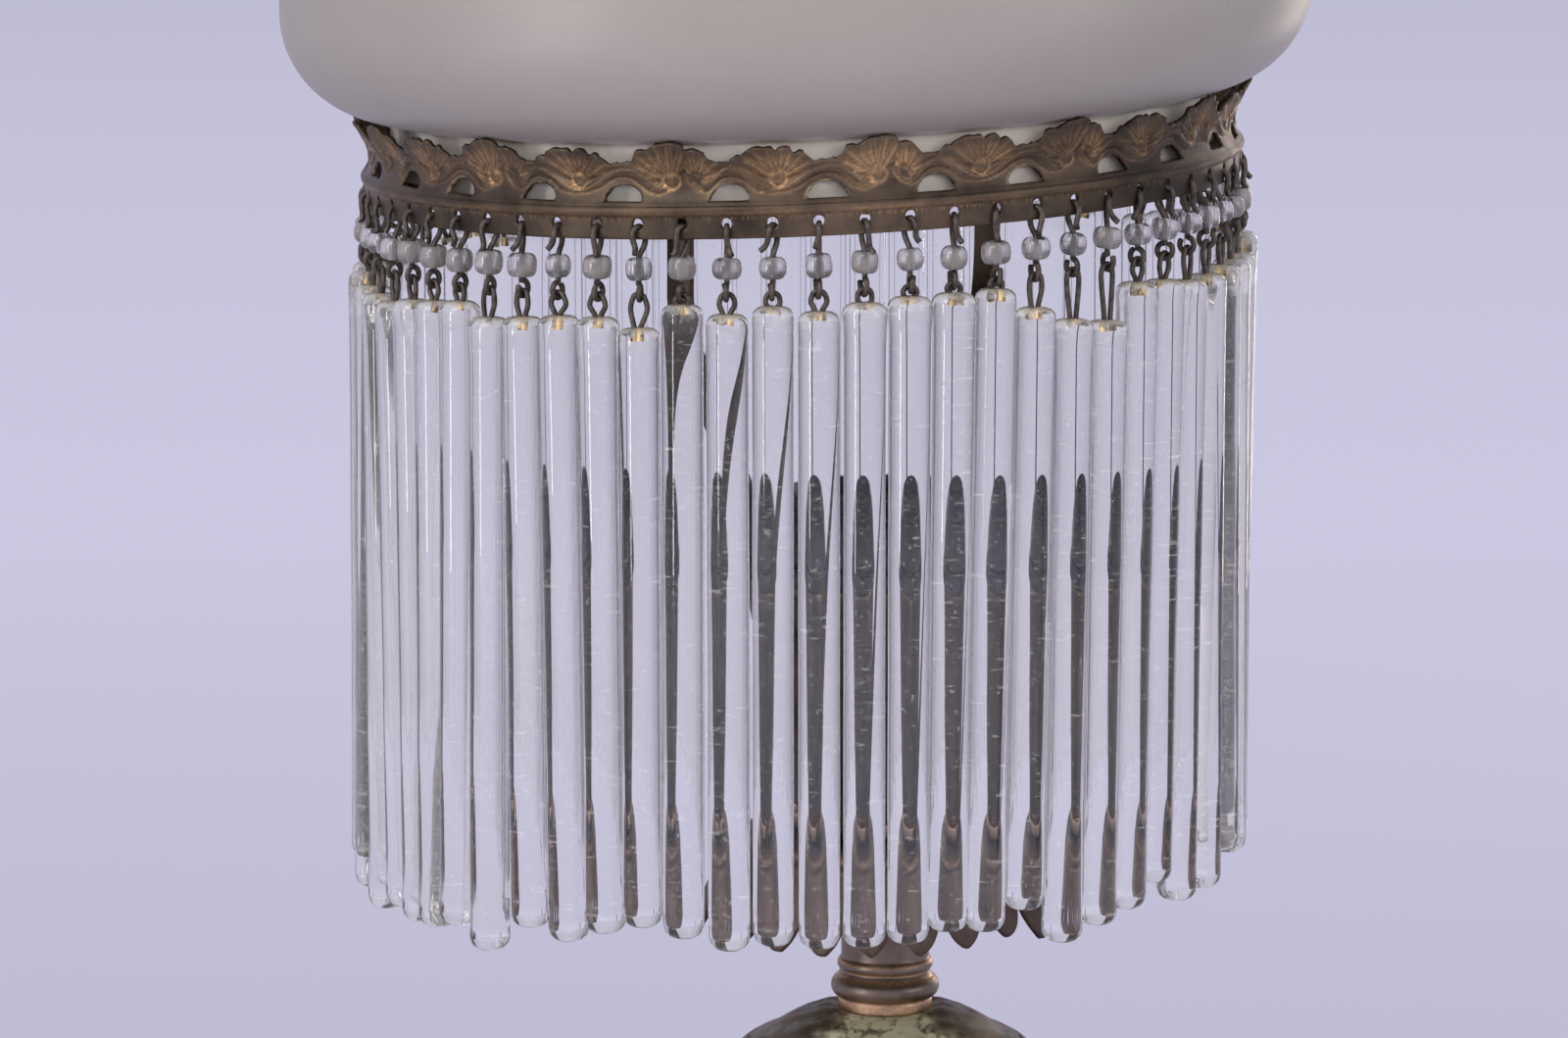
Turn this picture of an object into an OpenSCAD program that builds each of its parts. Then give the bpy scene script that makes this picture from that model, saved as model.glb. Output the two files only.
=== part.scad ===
// Table lamp with a turned stem, a two-armed harp, a pierced brass gallery, a satin
// glass shade and a fringe of glass rods that hang from the gallery on wire hooks.
// Origin: centre of the felt's underside, on the stem's axis. +Z is up and -Y is the
// front. Angles named "turn" are counted from the front, towards +X.

/* [Foot and body] */
// Outer radius of the cast foot's rim
foot_r = 55; // [53:0.5:58]
// Radius of the felt under the foot
felt_r = 54; // [50:0.5:54.5]
// Thickness of the felt
felt_t = 2; // [1.5:0.1:2.5]
// Height of the foot casting's top, where the body stands on it
foot_top = 41; // [40:0.5:42]
// Height of the body casting's top, where the collar starts
body_top = 119; // [118:0.5:120]

/* [Tube] */
// Outer radius of the threaded tube that clamps the whole stem
tube_r = 5; // [4.5:0.1:5]
// Radius of the tube's cable bore
tube_bore_r = 3.6; // [3:0.1:4]
// Height of the tube's upper end, inside the lampholder's cap
tube_top = 167; // [165:0.5:169]
// Width across flats of the two nuts on the tube
nut_af = 14; // [13:0.5:15]

/* [Petal cup] */
// Number of petals round the cup's rim
petals = 24; // [20:1:28]
// Radius of the petals' tips
petal_tip_r = 31; // [30:0.5:32]
// Height of the petals' tips
petal_tip_z = 134; // [133:0.5:135]
// Height of the cup's flat top
cup_top = 149; // [149:0.5:149]

/* [Harp arms] */
// Width of the flat strap
strap_w = 4; // [3.5:0.1:4.5]
// Thickness of the flat strap
strap_t = 1.2; // [1:0.1:1.4]
// Direction of the front arm, seen from the stem
front_turn = -27.4; // [-28:0.1:-27]
// Direction of the back arm, seen from the stem
back_turn = 162.3; // [162:0.1:163]
// Distance of the front arm's upright end from the stem's axis
front_top_r = 69.8; // [69.4:0.1:70]
// Distance of the back arm's upright end from the stem's axis
back_top_r = 59.2; // [59:0.1:59.4]

/* [Gallery] */
// Radius of the circle of holes, at the middle of the strip
hole_circle_r = 70; // [69.8:0.1:70.2]
// Number of holes, hooks, beads and rods
rod_count = 64; // [64:1:64]
// Turn of the first hole
first_turn = 1.72; // [1.5:0.01:2]
// Radius of a hole
hole_r = 0.85; // [0.8:0.05:0.9]
// Distance of the gallery's centre to the left of the stem's axis
gallery_shift = 13.6; // [13:0.1:14]
// Height of the circle of holes at the gallery's centre
gallery_z = 257.25; // [257:0.05:258]
// Dip of the gallery towards the front, in degrees
front_dip = 1.9; // [1.5:0.1:2]
// Dip of the gallery towards the left, in degrees
left_dip = 2.33; // [2:0.01:2.5]
// Number of small fans, and of wide shells, along the crest
crest_pairs = 14; // [14:1:14]
// Turn of the first small fan
first_fan_turn = -3.1; // [-4:0.1:-2]

/* [Shade] */
// Radius of the shade at its widest
shade_r = 82.4; // [82:0.1:84]
// Height of the shade's crown above the circle of holes
shade_crown_z = 90; // [82:0.5:94]
// Thickness of the glass
glass_t = 2.8; // [2.5:0.1:3]

/* [Fringe] */
// Diameter of the hook and link wire
wire_d = 0.9; // [0.85:0.05:0.95]
// Diameter of a glass rod
rod_d = 6.4; // [6:0.1:6.5]
// Diameter of a glass bead
bead_d = 4.1; // [4:0.1:4.2]
// Height of a glass bead
bead_h = 3.6; // [3.4:0.1:3.7]

/* [Hidden] */
// Gap round a shaft or wire in its hole
fit_gap = 0.05;
// Depth by which a cutter passes the face that it cuts
past = 1;
half_wire = wire_d / 2;

// The stem, from the felt upwards
nut_h = 4;
nut_z = 4;
washer_z = nut_z + nut_h;
washer_t = 1.5;
weight_z = washer_z + washer_t;
weight_r = 45;
boss_z = 24;
boss_r = 14;
inlet_z = 7.5;
inlet_r = 3.5;
collar_top = 147.8;
plate_z = 150.2;
plate_t = 2.3;
plate_r = 16;
sleeve_z = plate_z + plate_t;
lock_nut_z = sleeve_z + 1.4;
cap_z = 159;
insert_z = 176.5;
insert_t = 7.5;
shell_z = insert_z + insert_t;
flange_z = 191.6;

// The gallery's own heights, above its circle of holes
band_half_t = 0.4;
ledge_z = 1.4;
ledge_t = 0.8;
ledge_in_r = 60;
ledge_out_r = 68.2;
rivet_r = 61;
rivet_from_top = 3.8;
fan_pitch = 360 / crest_pairs;
fan_half = 6.03;
shell_offset = fan_pitch / 2;

// The shade's own heights, above the circle of holes
lip_r = 65.8;
lip_z = ledge_z + ledge_t;
bulge_r = 16.4;
bulge_z = 28;
lip_top = bulge_z - bulge_r - 2;

// The fringe, below each hole
hook_ring_r = 1.9;
hook_ring_drop = 1.7;
bead_drop = 6.8;
eye_ring_r = 1.2;
eye_drop = 10.2;
pivot_drop = 10.25;
link_half = 1.25;
leg_in_glass = 4;
rods_per_group = 4;
rod_pitch = 360 / rod_count;

// Distance from the hole to the rod's head, for the first rods to the right of the front
DROPS_RIGHT = [13.5, 12.5, 12, 12, 12, 15.5, 18, 19, 14, 14.5, 15.5, 15.5, 15, 15];
// The same to the left of the front, from the twelfth rod back to the nearest
DROPS_LEFT = [15, 14, 13.5, 13, 15, 14.5, 14, 14, 15.5, 12, 13.5, 12.5];
// Lengths of the same rods, from the front to the right, then on the left
LENGTHS_RIGHT = [97, 98, 98.5, 97.5, 98.5, 92.5, 96, 93.5, 97.5, 94.5, 98, 97.5, 93.5, 95.5];
LENGTHS_LEFT = [96.5, 98.5, 98.5, 97.5, 98.5, 94.5, 96.5, 94.5, 91.5, 96.5, 97, 97.5];
// Sideways lean of the same rods, in degrees, where they crowd each other
LEANS_RIGHT = [0.1, 0, -0.1, -0.3, -0.5, -0.7, -0.92, -1.1, -0.9, -0.5, -0.1, 0.1, 0, 0];
LEANS_LEFT = [0, 0, 0, -0.2, -0.3, 0.3, 0.4, 0.45, 0.3, 0.1, 0.1, 0];
// Largest lean of a rod in or out, in degrees
lean_out = 0.5;
// First rod of the stretch to the left of the front
left_start = rod_count - len(DROPS_LEFT);

$fn = 96;

// A point at radius r, turn a and height z in the gallery's own frame
function on_circle(r, a, z) = [r * sin(a), -r * cos(a), z];
function dip_front(p) =
    [p[0], p[1] * cos(front_dip) - p[2] * sin(front_dip), p[1] * sin(front_dip) + p[2] * cos(front_dip)];
function dip_left(p) =
    [p[0] * cos(left_dip) - p[2] * sin(left_dip), p[1], p[0] * sin(left_dip) + p[2] * cos(left_dip)];
function gallery_point(r, a, z) =
    dip_left(dip_front(on_circle(r, a, z))) + [-gallery_shift, 0, gallery_z];

// Height of the gallery's plane, raised by h, above the point at distance r and turn a
// from the stem's axis
function plane_up() = dip_left(dip_front([0, 0, 1]));
function plane_z(r, a, h) =
    gallery_z + (h - plane_up()[0] * (r * sin(a) + gallery_shift) + plane_up()[1] * r * cos(a)) / plane_up()[2];

// Turn of the middle of rod k's group, then rod k's own turn, drop below the hole and length
function group_turn(k) = rod_turn(floor(k / rods_per_group) * rods_per_group + (rods_per_group - 1) / 2);
function rod_turn(k) = first_turn + rod_pitch * k;
function rod_drop(k) =
    k < len(DROPS_RIGHT) ? DROPS_RIGHT[k]
    : k >= left_start ? DROPS_LEFT[k - left_start]
    : 13.8 + 1.4 * sin(137 * k);
function rod_length(k) =
    k < len(LENGTHS_RIGHT) ? LENGTHS_RIGHT[k]
    : k >= left_start ? LENGTHS_LEFT[k - left_start]
    : 97 + 1.8 * sin(101 * k);

function rod_lean(k) =
    k < len(LEANS_RIGHT) ? LEANS_RIGHT[k]
    : k >= left_start ? LEANS_LEFT[k - left_start]
    : 0.1 * sin(149 * k);

// Unit normal of the step from point a to point b, to its left
function step_normal(a, b) = [a[1] - b[1], b[0] - a[0]] / norm(b - a);
// Mitred normal of a path at its point i
function path_normal(p, i) =
    let (n1 = step_normal(p[max(i - 1, 0)], p[max(i, 1)]))
    let (n2 = step_normal(p[min(i, len(p) - 2)], p[min(i + 1, len(p) - 1)]))
    (n1 + n2) / (1 + n1 * n2);
// Outline of a strip of thickness t along a path
function strip(p, t) = concat(
    [for (i = [0 : len(p) - 1]) p[i] + path_normal(p, i) * t / 2],
    [for (i = [len(p) - 1 : -1 : 0]) p[i] - path_normal(p, i) * t / 2]
);
// Smooth curve through the points of q, in n steps a span
function spline_point(q, i, u) =
    let (a = q[max(i - 1, 0)], b = q[i], c = q[i + 1], d = q[min(i + 2, len(q) - 1)])
    0.5 * (2 * b + (c - a) * u + (2 * a - 5 * b + 4 * c - d) * u * u + (3 * b - a - 3 * c + d) * u * u * u);
function spline(q, n) = concat(
    [for (i = [0 : len(q) - 2], j = [0 : n - 1]) spline_point(q, i, j / n)],
    [q[len(q) - 1]]
);

// Draws a flat outline of thickness w upright, in the plane through the axis at turn a
module upright(a, w) {
    rotate([0, 0, a - 90])
        rotate([90, 0, 0])
            linear_extrude(height = w, center = true)
                children();
}

// Places its children in the gallery's tilted frame
module on_gallery() {
    translate([-gallery_shift, 0, gallery_z])
        rotate([front_dip, -left_dip, 0])
            children();
}

// Places its children at hole k, hanging upright, with local +X outwards
module at_hole(k) {
    translate(gallery_point(hole_circle_r, rod_turn(k), 0))
        rotate([0, 0, rod_turn(k) - 90])
            children();
}

// A tube or disc of outer radius r with a bore
module ring(r, bore, z, h) {
    translate([0, 0, z])
        difference() {
            cylinder(r = r, h = h);
            translate([0, 0, -past])
                cylinder(r = bore, h = h + 2 * past);
        }
}

// A hexagonal nut on the tube
module hex_nut(z) {
    translate([0, 0, z])
        difference() {
            cylinder(d = nut_af / cos(30), h = nut_h, $fn = 6);
            translate([0, 0, -past])
                cylinder(r = tube_r + fit_gap, h = nut_h + 2 * past);
        }
}

// A turned piece from its outline, with the tube's clearance bore up its axis
module turned(outline, bore = tube_r + fit_gap) {
    difference() {
        rotate_extrude()
            polygon(outline);
        translate([0, 0, -past])
            cylinder(r = bore, h = gallery_z);
    }
}

module felt_pad() {
    color([0.16, 0.22, 0.17])
        cylinder(r = felt_r, h = felt_t);
}

module tube_nut() {
    color([0.72, 0.58, 0.30])
        hex_nut(nut_z);
}

module tube_washer() {
    color([0.60, 0.60, 0.58])
        ring(11, tube_r + fit_gap, washer_z, washer_t);
}

module base_weight() {
    color([0.28, 0.28, 0.29])
        turned([
            [0, weight_z], [weight_r, weight_z], [weight_r, 12], [38, 15.5],
            [30, 20], [25, boss_z], [0, boss_z]
        ]);
}

// Spreading foot with an upright rim and a hollow ogee, and a boss that the weight meets
module foot_casting() {
    color([0.24, 0.19, 0.15])
        difference() {
            rotate_extrude()
                polygon([
                    [tube_r + fit_gap, boss_z], [boss_r, boss_z], [boss_r + 2, 33], [20, 33],
                    [25, 27.5], [31, 22], [38, 17.5], [44, 14.5], [48, 12.5],
                    [foot_r - 3.5, 10], [foot_r - 3.5, felt_t],
                    [foot_r, felt_t], [foot_r, 9.5], [foot_r - 0.8, 11.4], [foot_r - 2.5, 12.6],
                    [50, 13.6], [45, 16.8], [39, 20.5], [33, 25.5], [27.5, 31.5],
                    [24, 36.5], [22.8, 39.2], [22, foot_top], [tube_r + fit_gap, foot_top]
                ]);
            translate([0, foot_r - 10, inlet_z])
                rotate([-90, 0, 0])
                    cylinder(r = inlet_r + fit_gap, h = 20);
        }
}

// Flanged bush in the rear of the rim, for the supply cable
module cord_inlet_bush() {
    bush_in = foot_r - 5;
    flange_t = 1.5;
    color([0.10, 0.09, 0.08])
        translate([0, bush_in, inlet_z])
            rotate([-90, 0, 0])
                difference() {
                    union() {
                        cylinder(r = inlet_r, h = foot_r - bush_in + flange_t);
                        translate([0, 0, foot_r - bush_in])
                            cylinder(r = inlet_r + 1.4, h = flange_t);
                    }
                    translate([0, 0, -past])
                        cylinder(r = 2.5, h = 10);
                }
}

// Hollow vase body, cast with the leaf shoulder that the collar stands in
module body_casting() {
    color([0.27, 0.21, 0.15])
        rotate_extrude()
            polygon([
                [tube_r + fit_gap, foot_top], [21, foot_top], [22, 42.5], [21.4, 44.5],
                [18.5, 46.5], [15, 49.5], [13.2, 54], [13.6, 59], [16, 65], [19.8, 72],
                [24, 80], [27.4, 88], [29.2, 95], [29.6, 100], [28.6, 105], [26.4, 110],
                [23.6, 113.2], [21.7, 114.4], [17, 116], [13, 117], [9.6, body_top],
                [tube_r + fit_gap, body_top], [tube_r + fit_gap, 114], [16, 112],
                [22, 108], [25.2, 102], [25.4, 95], [23.4, 88], [20, 80], [15.8, 72],
                [12, 65], [9.8, 59], [9.4, 52], [tube_r + fit_gap, 50]
            ]);
}

module threaded_tube() {
    tube_z = 3;
    color([0.70, 0.56, 0.30])
        ring(tube_r, tube_bore_r, tube_z, tube_top - tube_z);
}

// Turned collar: bottom ring, large bead, neck, small bead and a plain upper part
module collar() {
    color([0.26, 0.15, 0.09])
        difference() {
            union() {
                translate([0, 0, body_top])
                    cylinder(r = 7.8, h = 1.6);
                translate([0, 0, body_top + 1.6])
                    cylinder(r = 7.2, h = collar_top - body_top - 1.6);
                translate([0, 0, 122.9])
                    rotate_extrude()
                        translate([6.9, 0])
                            circle(r = 2, $fn = 32);
                translate([0, 0, 126.6])
                    rotate_extrude()
                        translate([6.6, 0])
                            circle(r = 1.25, $fn = 32);
            }
            translate([0, 0, body_top - past])
                cylinder(r = tube_r + fit_gap, h = 40);
        }
}

// Spun bell with a stepped shoulder and pointed petals round its rim
module petal_cup() {
    notch_r = petal_tip_r + 4;
    half_pitch = 180 / petals;
    notch_half = notch_r * tan(half_pitch);
    color([0.38, 0.22, 0.15])
        difference() {
            rotate_extrude()
                polygon([
                    [tube_r + fit_gap, collar_top], [20.5, collar_top], [23.5, 146.6],
                    [25.2, 144.6], [26.6, 141.5], [28.2, 138], [petal_tip_r - 1.3, petal_tip_z],
                    [petal_tip_r, petal_tip_z], [29.8, 138], [28.2, 142], [27, 144.4],
                    [26.4, 145.2], [26.2, 146.6], [24.6, 147.4], [24.2, 148.4],
                    [22, cup_top], [tube_r + fit_gap, cup_top]
                ]);
            for (i = [0 : petals - 1])
                rotate([0, 0, (i + 0.5) * 360 / petals - 5.3])
                    translate([0, -notch_r, petal_tip_z])
                        rotate([-90, 0, 0])
                            linear_extrude(height = 14)
                                polygon([
                                    [0, -6.5], [-notch_half * 0.55, -3], [-notch_half, past],
                                    [notch_half, past], [notch_half * 0.55, -3]
                                ]);
        }
}

// Flat strap: a tab under the ledge, an upright, a long slope and a foot on the cup.
// bends holds the slope's points, as distances from the stem and depths below the tab.
module harp_arm(turn, top_r, bends) {
    tab_h = ledge_z - 0.1 - strap_t / 2;
    tab_l = 7.2;
    foot_z = (cup_top + plate_z) / 2;
    top_z = plane_z(top_r, turn, tab_h);
    slope = spline(concat(
        [[top_r, top_z - 2.4]],
        [for (b = bends) [b[0], top_z - b[1]]],
        [[20.4, foot_z + 4.4], [17.6, foot_z + 0.5]]
    ), 3);
    path = concat(
        [[top_r - tab_l, plane_z(top_r - tab_l, turn, tab_h)]],
        [[top_r - 1.3, top_z], [top_r - 0.2, top_z - 0.7]],
        slope,
        [[16.4, foot_z], [9, foot_z]]
    );
    difference() {
        upright(turn, strap_w)
            polygon(strip(path, strap_t));
        arm_rivet_shanks(turn, 0.9 + fit_gap);
    }
}

module arm_front() {
    color([0.30, 0.20, 0.12])
        harp_arm(front_turn, front_top_r, [
            [front_top_r, 8], [69.5, 15], [65.5, 23], [57.5, 34], [47.5, 48], [40, 60], [29.5, 83]
        ]);
}

module arm_back() {
    color([0.30, 0.20, 0.12])
        harp_arm(back_turn, back_top_r, [
            [back_top_r, 12], [back_top_r, 22], [57.5, 30], [52, 42], [44.5, 56], [35, 72], [27, 90]
        ]);
}

// Turn of each arm's tab, seen from the gallery's centre
function tab_turn(turn, r) = atan2(r * sin(turn) + gallery_shift, r * cos(turn));

// The shanks of the two rivets that hold an arm: one in its tab, one in its foot
module arm_rivet_shanks(turn, r) {
    top_r = turn == front_turn ? front_top_r : back_top_r;
    on_gallery()
        rotate([0, 0, tab_turn(turn, top_r - rivet_from_top)])
            translate([0, -rivet_r, -1])
                cylinder(r = r, h = 3.6, $fn = 24);
    rotate([0, 0, turn])
        translate([0, -13, 148.4])
            cylinder(r = r, h = 4.6, $fn = 24);
}

// Disc on the cup's top that clamps both arms' feet
module arm_plate() {
    color([0.33, 0.21, 0.13])
        difference() {
            union() {
                ring(plate_r, tube_r + fit_gap, plate_z, plate_t);
                ring(8.4, tube_r + fit_gap, cup_top, plate_z - cup_top);
            }
            arm_rivet_shanks(front_turn, 0.9 + fit_gap);
            arm_rivet_shanks(back_turn, 0.9 + fit_gap);
        }
}

// Spun brass sleeve that widens from its neck to the lampholder's flange
module holder_sleeve() {
    wall = 1.2;
    color([0.36, 0.23, 0.13])
        rotate_extrude()
            polygon([
                [tube_r + fit_gap, sleeve_z], [15, sleeve_z], [15.8, 156], [17.4, 161],
                [19, 166], [20.3, 174], [21.5, 182], [22.7, 188], [23.5, flange_z],
                [23.5 - wall, flange_z], [22.7 - wall, 188.2], [21.5 - wall, 182.2],
                [20.3 - wall, 174.2], [19 - wall, 166.2], [17.4 - wall, 161.2],
                [15.8 - wall, 156.4], [15 - wall, lock_nut_z], [tube_r + fit_gap, lock_nut_z]
            ]);
}

module sleeve_lock_nut() {
    color([0.72, 0.58, 0.30])
        hex_nut(lock_nut_z);
}

// Black cap of the lampholder, screwed onto the tube
module holder_cap() {
    color([0.05, 0.05, 0.05])
        rotate_extrude()
            polygon([
                [tube_r + fit_gap, cap_z], [8.5, cap_z], [8.5, 163], [13.6, 165.5],
                [16.3, 170], [16.3, insert_z], [13.8, insert_z], [13.8, 172],
                [11, 169.6], [tube_r + fit_gap, 168.6]
            ]);
}

// Porcelain block that carries the contacts
module lampholder_insert() {
    color([0.86, 0.84, 0.78])
        difference() {
            translate([0, 0, insert_z])
                cylinder(r = 16.3, h = insert_t);
            translate([0, 0, insert_z - past])
                cylinder(r = 1.6, h = 20);
            for (side = [-1, 1])
                translate([side * 9, 0, insert_z - past])
                    cylinder(r = 1.55, h = 6);
        }
}

module terminal_screws() {
    color([0.75, 0.62, 0.35])
        for (side = [-1, 1])
            translate([side * 9, 0, insert_z])
                difference() {
                    union() {
                        cylinder(r = 1.5, h = 4.6);
                        translate([0, 0, -1.8])
                            cylinder(r = 2.6, h = 1.8);
                    }
                    translate([-3, -0.35, -1.8 - past])
                        cube([6, 0.7, past + 0.7]);
                }
}

// Springy brass strip at the bottom of the lampholder
module centre_contact() {
    color([0.78, 0.64, 0.36])
        union() {
            translate([0, 0, insert_z + 1])
                cylinder(r = 1.5, h = insert_t - 1);
            upright(90, 4)
                polygon(strip([
                    [-4, shell_z + 0.3], [2.4, shell_z + 0.3], [3.4, shell_z + 1.2],
                    [0.5, shell_z + 3.4], [-2.4, shell_z + 3.4]
                ], 0.6));
        }
}

// Rolled brass shell with the lamp thread
module lampholder_shell() {
    pitch = 3.6;
    mean_r = 13.35;
    wave = 0.35;
    wall = 0.4;
    steps = 20;
    thread_h = 18;
    color([0.80, 0.66, 0.38])
        rotate_extrude()
            polygon(concat(
                [[8.6, shell_z], [mean_r + wave, shell_z]],
                [for (i = [0 : steps])
                    let (z = thread_h * i / steps)
                    [mean_r + wall + wave * cos(360 * z / pitch), shell_z + 0.4 + z]],
                [for (i = [steps : -1 : 0])
                    let (z = thread_h * i / steps)
                    [mean_r + wave * cos(360 * z / pitch) - 0.1, shell_z + 0.5 + z]],
                [[8.6, shell_z + 0.5]]
            ));
}

// Black lampholder barrel, with two shallow grooves round its stepped mouth
module lampholder_body() {
    color([0.04, 0.04, 0.04])
        rotate_extrude()
            polygon([
                [16.6, 178], [19.2, 178], [19.2, flange_z], [23.9, flange_z], [23.9, 194.9],
                [24.2, 195.3], [23.8, 197], [23, 198.4], [21.7, 201], [20.5, 202.4],
                [19.8, 202.6], [19.8, 202.9], [19.6, 203.2], [18, 204], [17, 204.4],
                [17, 204.7], [16.6, 205], [15.2, 205.3], [14.4, 205], [14.4, 202.6],
                [16.6, 201.4]
            ]);
}

// Screwed ring below the lampholder's mouth
module lampholder_ring() {
    color([0.06, 0.05, 0.05])
        rotate_extrude()
            polygon([
                [23.95, flange_z], [25.2, flange_z], [25.6, flange_z + 0.5],
                [25.6, 194.2], [25.2, 194.7], [23.95, 194.7]
            ]);
}

// Flat tool across the band at a turn, with its outline drawn in width and height
module band_cutter(turn) {
    rotate([0, 0, turn])
        translate([0, -76, 0])
            rotate([90, 0, 180])
                linear_extrude(height = 12)
                    children();
}

// Pressed brass strip: rounded rib, pierced row, and a crest of fans and shells
module gallery_band() {
    r = hole_circle_r;
    color([0.33, 0.25, 0.18])
        on_gallery()
            difference() {
                rotate([0, 0, first_fan_turn + 4 * fan_pitch - 90])
                    rotate_extrude($fn = 192)
                        polygon([
                            [r - band_half_t, -2.3], [r + band_half_t, -2.3], [r + band_half_t, 1.05],
                            [r + 0.95, 1.4], [r + 1.1, 1.85], [r + 0.8, 2.3], [r - 0.4, 2.65],
                            [r - 0.9, 2.95], [r - 0.9, 6.3], [r - 0.4, 7.6], [r + 0.9, 10.05],
                            [r + 2.1, 11.7], [r + 1.5, 11.8], [r + 0.2, 10.35], [r - 1.1, 7.8],
                            [r - 1.7, 6.4], [r - 1.7, 2.75], [r - band_half_t, 1.5]
                        ]);
                for (k = [0 : rod_count - 1])
                    rotate([0, 0, rod_turn(k)])
                        translate([0, -66, 0])
                            rotate([90, 0, 0])
                                cylinder(r = hole_r, h = 8, $fn = 24);
                for (i = [0 : crest_pairs - 1], side = [-1, 1]) {
                    band_cutter(first_fan_turn + i * fan_pitch + side * fan_half)
                        polygon([for (j = [0 : 8]) [3.15 * cos(180 * j / 8), 3.4 + 2.4 * sin(180 * j / 8)]]);
                    band_cutter(first_fan_turn + i * fan_pitch + side * fan_half)
                        polygon([
                            [-1.5, 9], [1.5, 9], [2.4, 9.6], [3.1, 10.5], [3.8, 11.1], [4.6, 11.4],
                            [4.6, 13], [-4.6, 13], [-4.6, 11.4], [-3.8, 11.1], [-3.1, 10.5], [-2.4, 9.6]
                        ]);
                }
                for (i = [0 : crest_pairs - 1])
                    band_cutter(first_fan_turn + i * fan_pitch + shell_offset)
                        polygon([
                            [0, 10.6], [0.9, 11.1], [1.8, 11.5], [1.8, 13],
                            [-1.8, 13], [-1.8, 11.5], [-0.9, 11.1]
                        ]);
            }
}

// Flat ledge inside the band, which the shade's lip stands on
module shade_seat_ring() {
    color([0.30, 0.22, 0.15])
        difference() {
            on_gallery()
                ring(ledge_out_r, ledge_in_r, ledge_z, ledge_t);
            arm_rivet_shanks(front_turn, 0.9 + fit_gap);
            arm_rivet_shanks(back_turn, 0.9 + fit_gap);
        }
}

// Four rivets: two through the ledge and the tabs, two through the plate and the feet
module arm_rivets() {
    color([0.52, 0.38, 0.22])
        for (arm = [[front_turn, front_top_r], [back_turn, back_top_r]]) {
            on_gallery()
                rotate([0, 0, tab_turn(arm[0], arm[1] - rivet_from_top)])
                    translate([0, -rivet_r, 0]) {
                        translate([0, 0, -0.1])
                            cylinder(r = 0.9, h = ledge_z + ledge_t + 0.2, $fn = 24);
                        translate([0, 0, ledge_z + ledge_t])
                            cylinder(r = 1.6, h = 0.8, $fn = 24);
                        translate([0, 0, -0.7])
                            cylinder(r = 1.5, h = 0.7, $fn = 24);
                    }
            rotate([0, 0, arm[0]])
                translate([0, -13, cup_top])
                    cylinder(r = 0.9, h = sleeve_z - cup_top, $fn = 24);
        }
}

// Satin glass mushroom with a straight lip, a round bulge and a domed crown
module glass_shade() {
    bulge_c = shade_r - bulge_r;
    crown_h = shade_crown_z - bulge_z;
    bulge_steps = 14;
    dome_steps = 22;
    color([0.82, 0.79, 0.78])
        on_gallery()
            rotate_extrude($fn = 192)
                polygon(concat(
                    [[lip_r - glass_t, lip_z], [lip_r, lip_z], [lip_r, lip_top]],
                    [for (i = [1 : bulge_steps])
                        let (a = -90 + 90 * i / bulge_steps)
                        [bulge_c + bulge_r * cos(a), bulge_z + bulge_r * sin(a)]],
                    [for (i = [1 : dome_steps])
                        let (a = 90 * i / dome_steps)
                        [shade_r * cos(a), bulge_z + crown_h * sin(a)]],
                    [for (i = [dome_steps : -1 : 0])
                        let (a = 90 * i / dome_steps)
                        [(shade_r - glass_t) * cos(a), bulge_z + (crown_h - glass_t) * sin(a)]],
                    [for (i = [bulge_steps - 1 : -1 : 2])
                        let (a = -90 + 90 * i / bulge_steps)
                        [bulge_c + (bulge_r - glass_t) * cos(a), bulge_z + (bulge_r - glass_t) * sin(a)]],
                    [[lip_r - glass_t, lip_top + 2.4]]
                ));
}

// One wire hook: a loop through the hole, a shank through the bead and a lower eye
module hook() {
    union() {
        translate([0, 0, -hook_ring_drop])
            rotate([90, 0, 0])
                rotate_extrude($fn = 32)
                    translate([hook_ring_r, 0])
                        circle(r = half_wire, $fn = 16);
        translate([0, 0, -eye_drop + eye_ring_r])
            cylinder(r = half_wire - 0.05, h = eye_drop - eye_ring_r - hook_ring_drop - hook_ring_r, $fn = 16);
        translate([0, 0, -eye_drop])
            rotate([90, 0, 0])
                rotate_extrude($fn = 32)
                    translate([eye_ring_r, 0])
                        circle(r = half_wire, $fn = 16);
    }
}

module hooks() {
    color([0.30, 0.24, 0.20])
        for (k = [0 : rod_count - 1])
            at_hole(k)
                hook();
}

// One glass bead, bored for the hook's shank
module bead() {
    translate([0, 0, -bead_drop])
        rotate_extrude($fn = 32)
            polygon(concat(
                [[half_wire, -bead_h / 2], [half_wire, bead_h / 2]],
                [for (i = [5 : -1 : -5])
                    let (a = 15 * i)
                    [bead_d / 2 * cos(a), bead_h / 2 * sin(a) / sin(75) * 0.98]]
            ));
}

module beads() {
    color([0.85, 0.82, 0.84, 0.6])
        for (k = [0 : rod_count - 1])
            at_hole(k)
                bead();
}

// Turns a link and its rod about the link's bearing point, by the lean of rod k
module leaning(k) {
    translate([0, 0, -pivot_drop])
        rotate([rod_lean(k), -lean_out * sin(67 * k), 0])
            translate([0, 0, pivot_drop])
                children();
}

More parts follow.
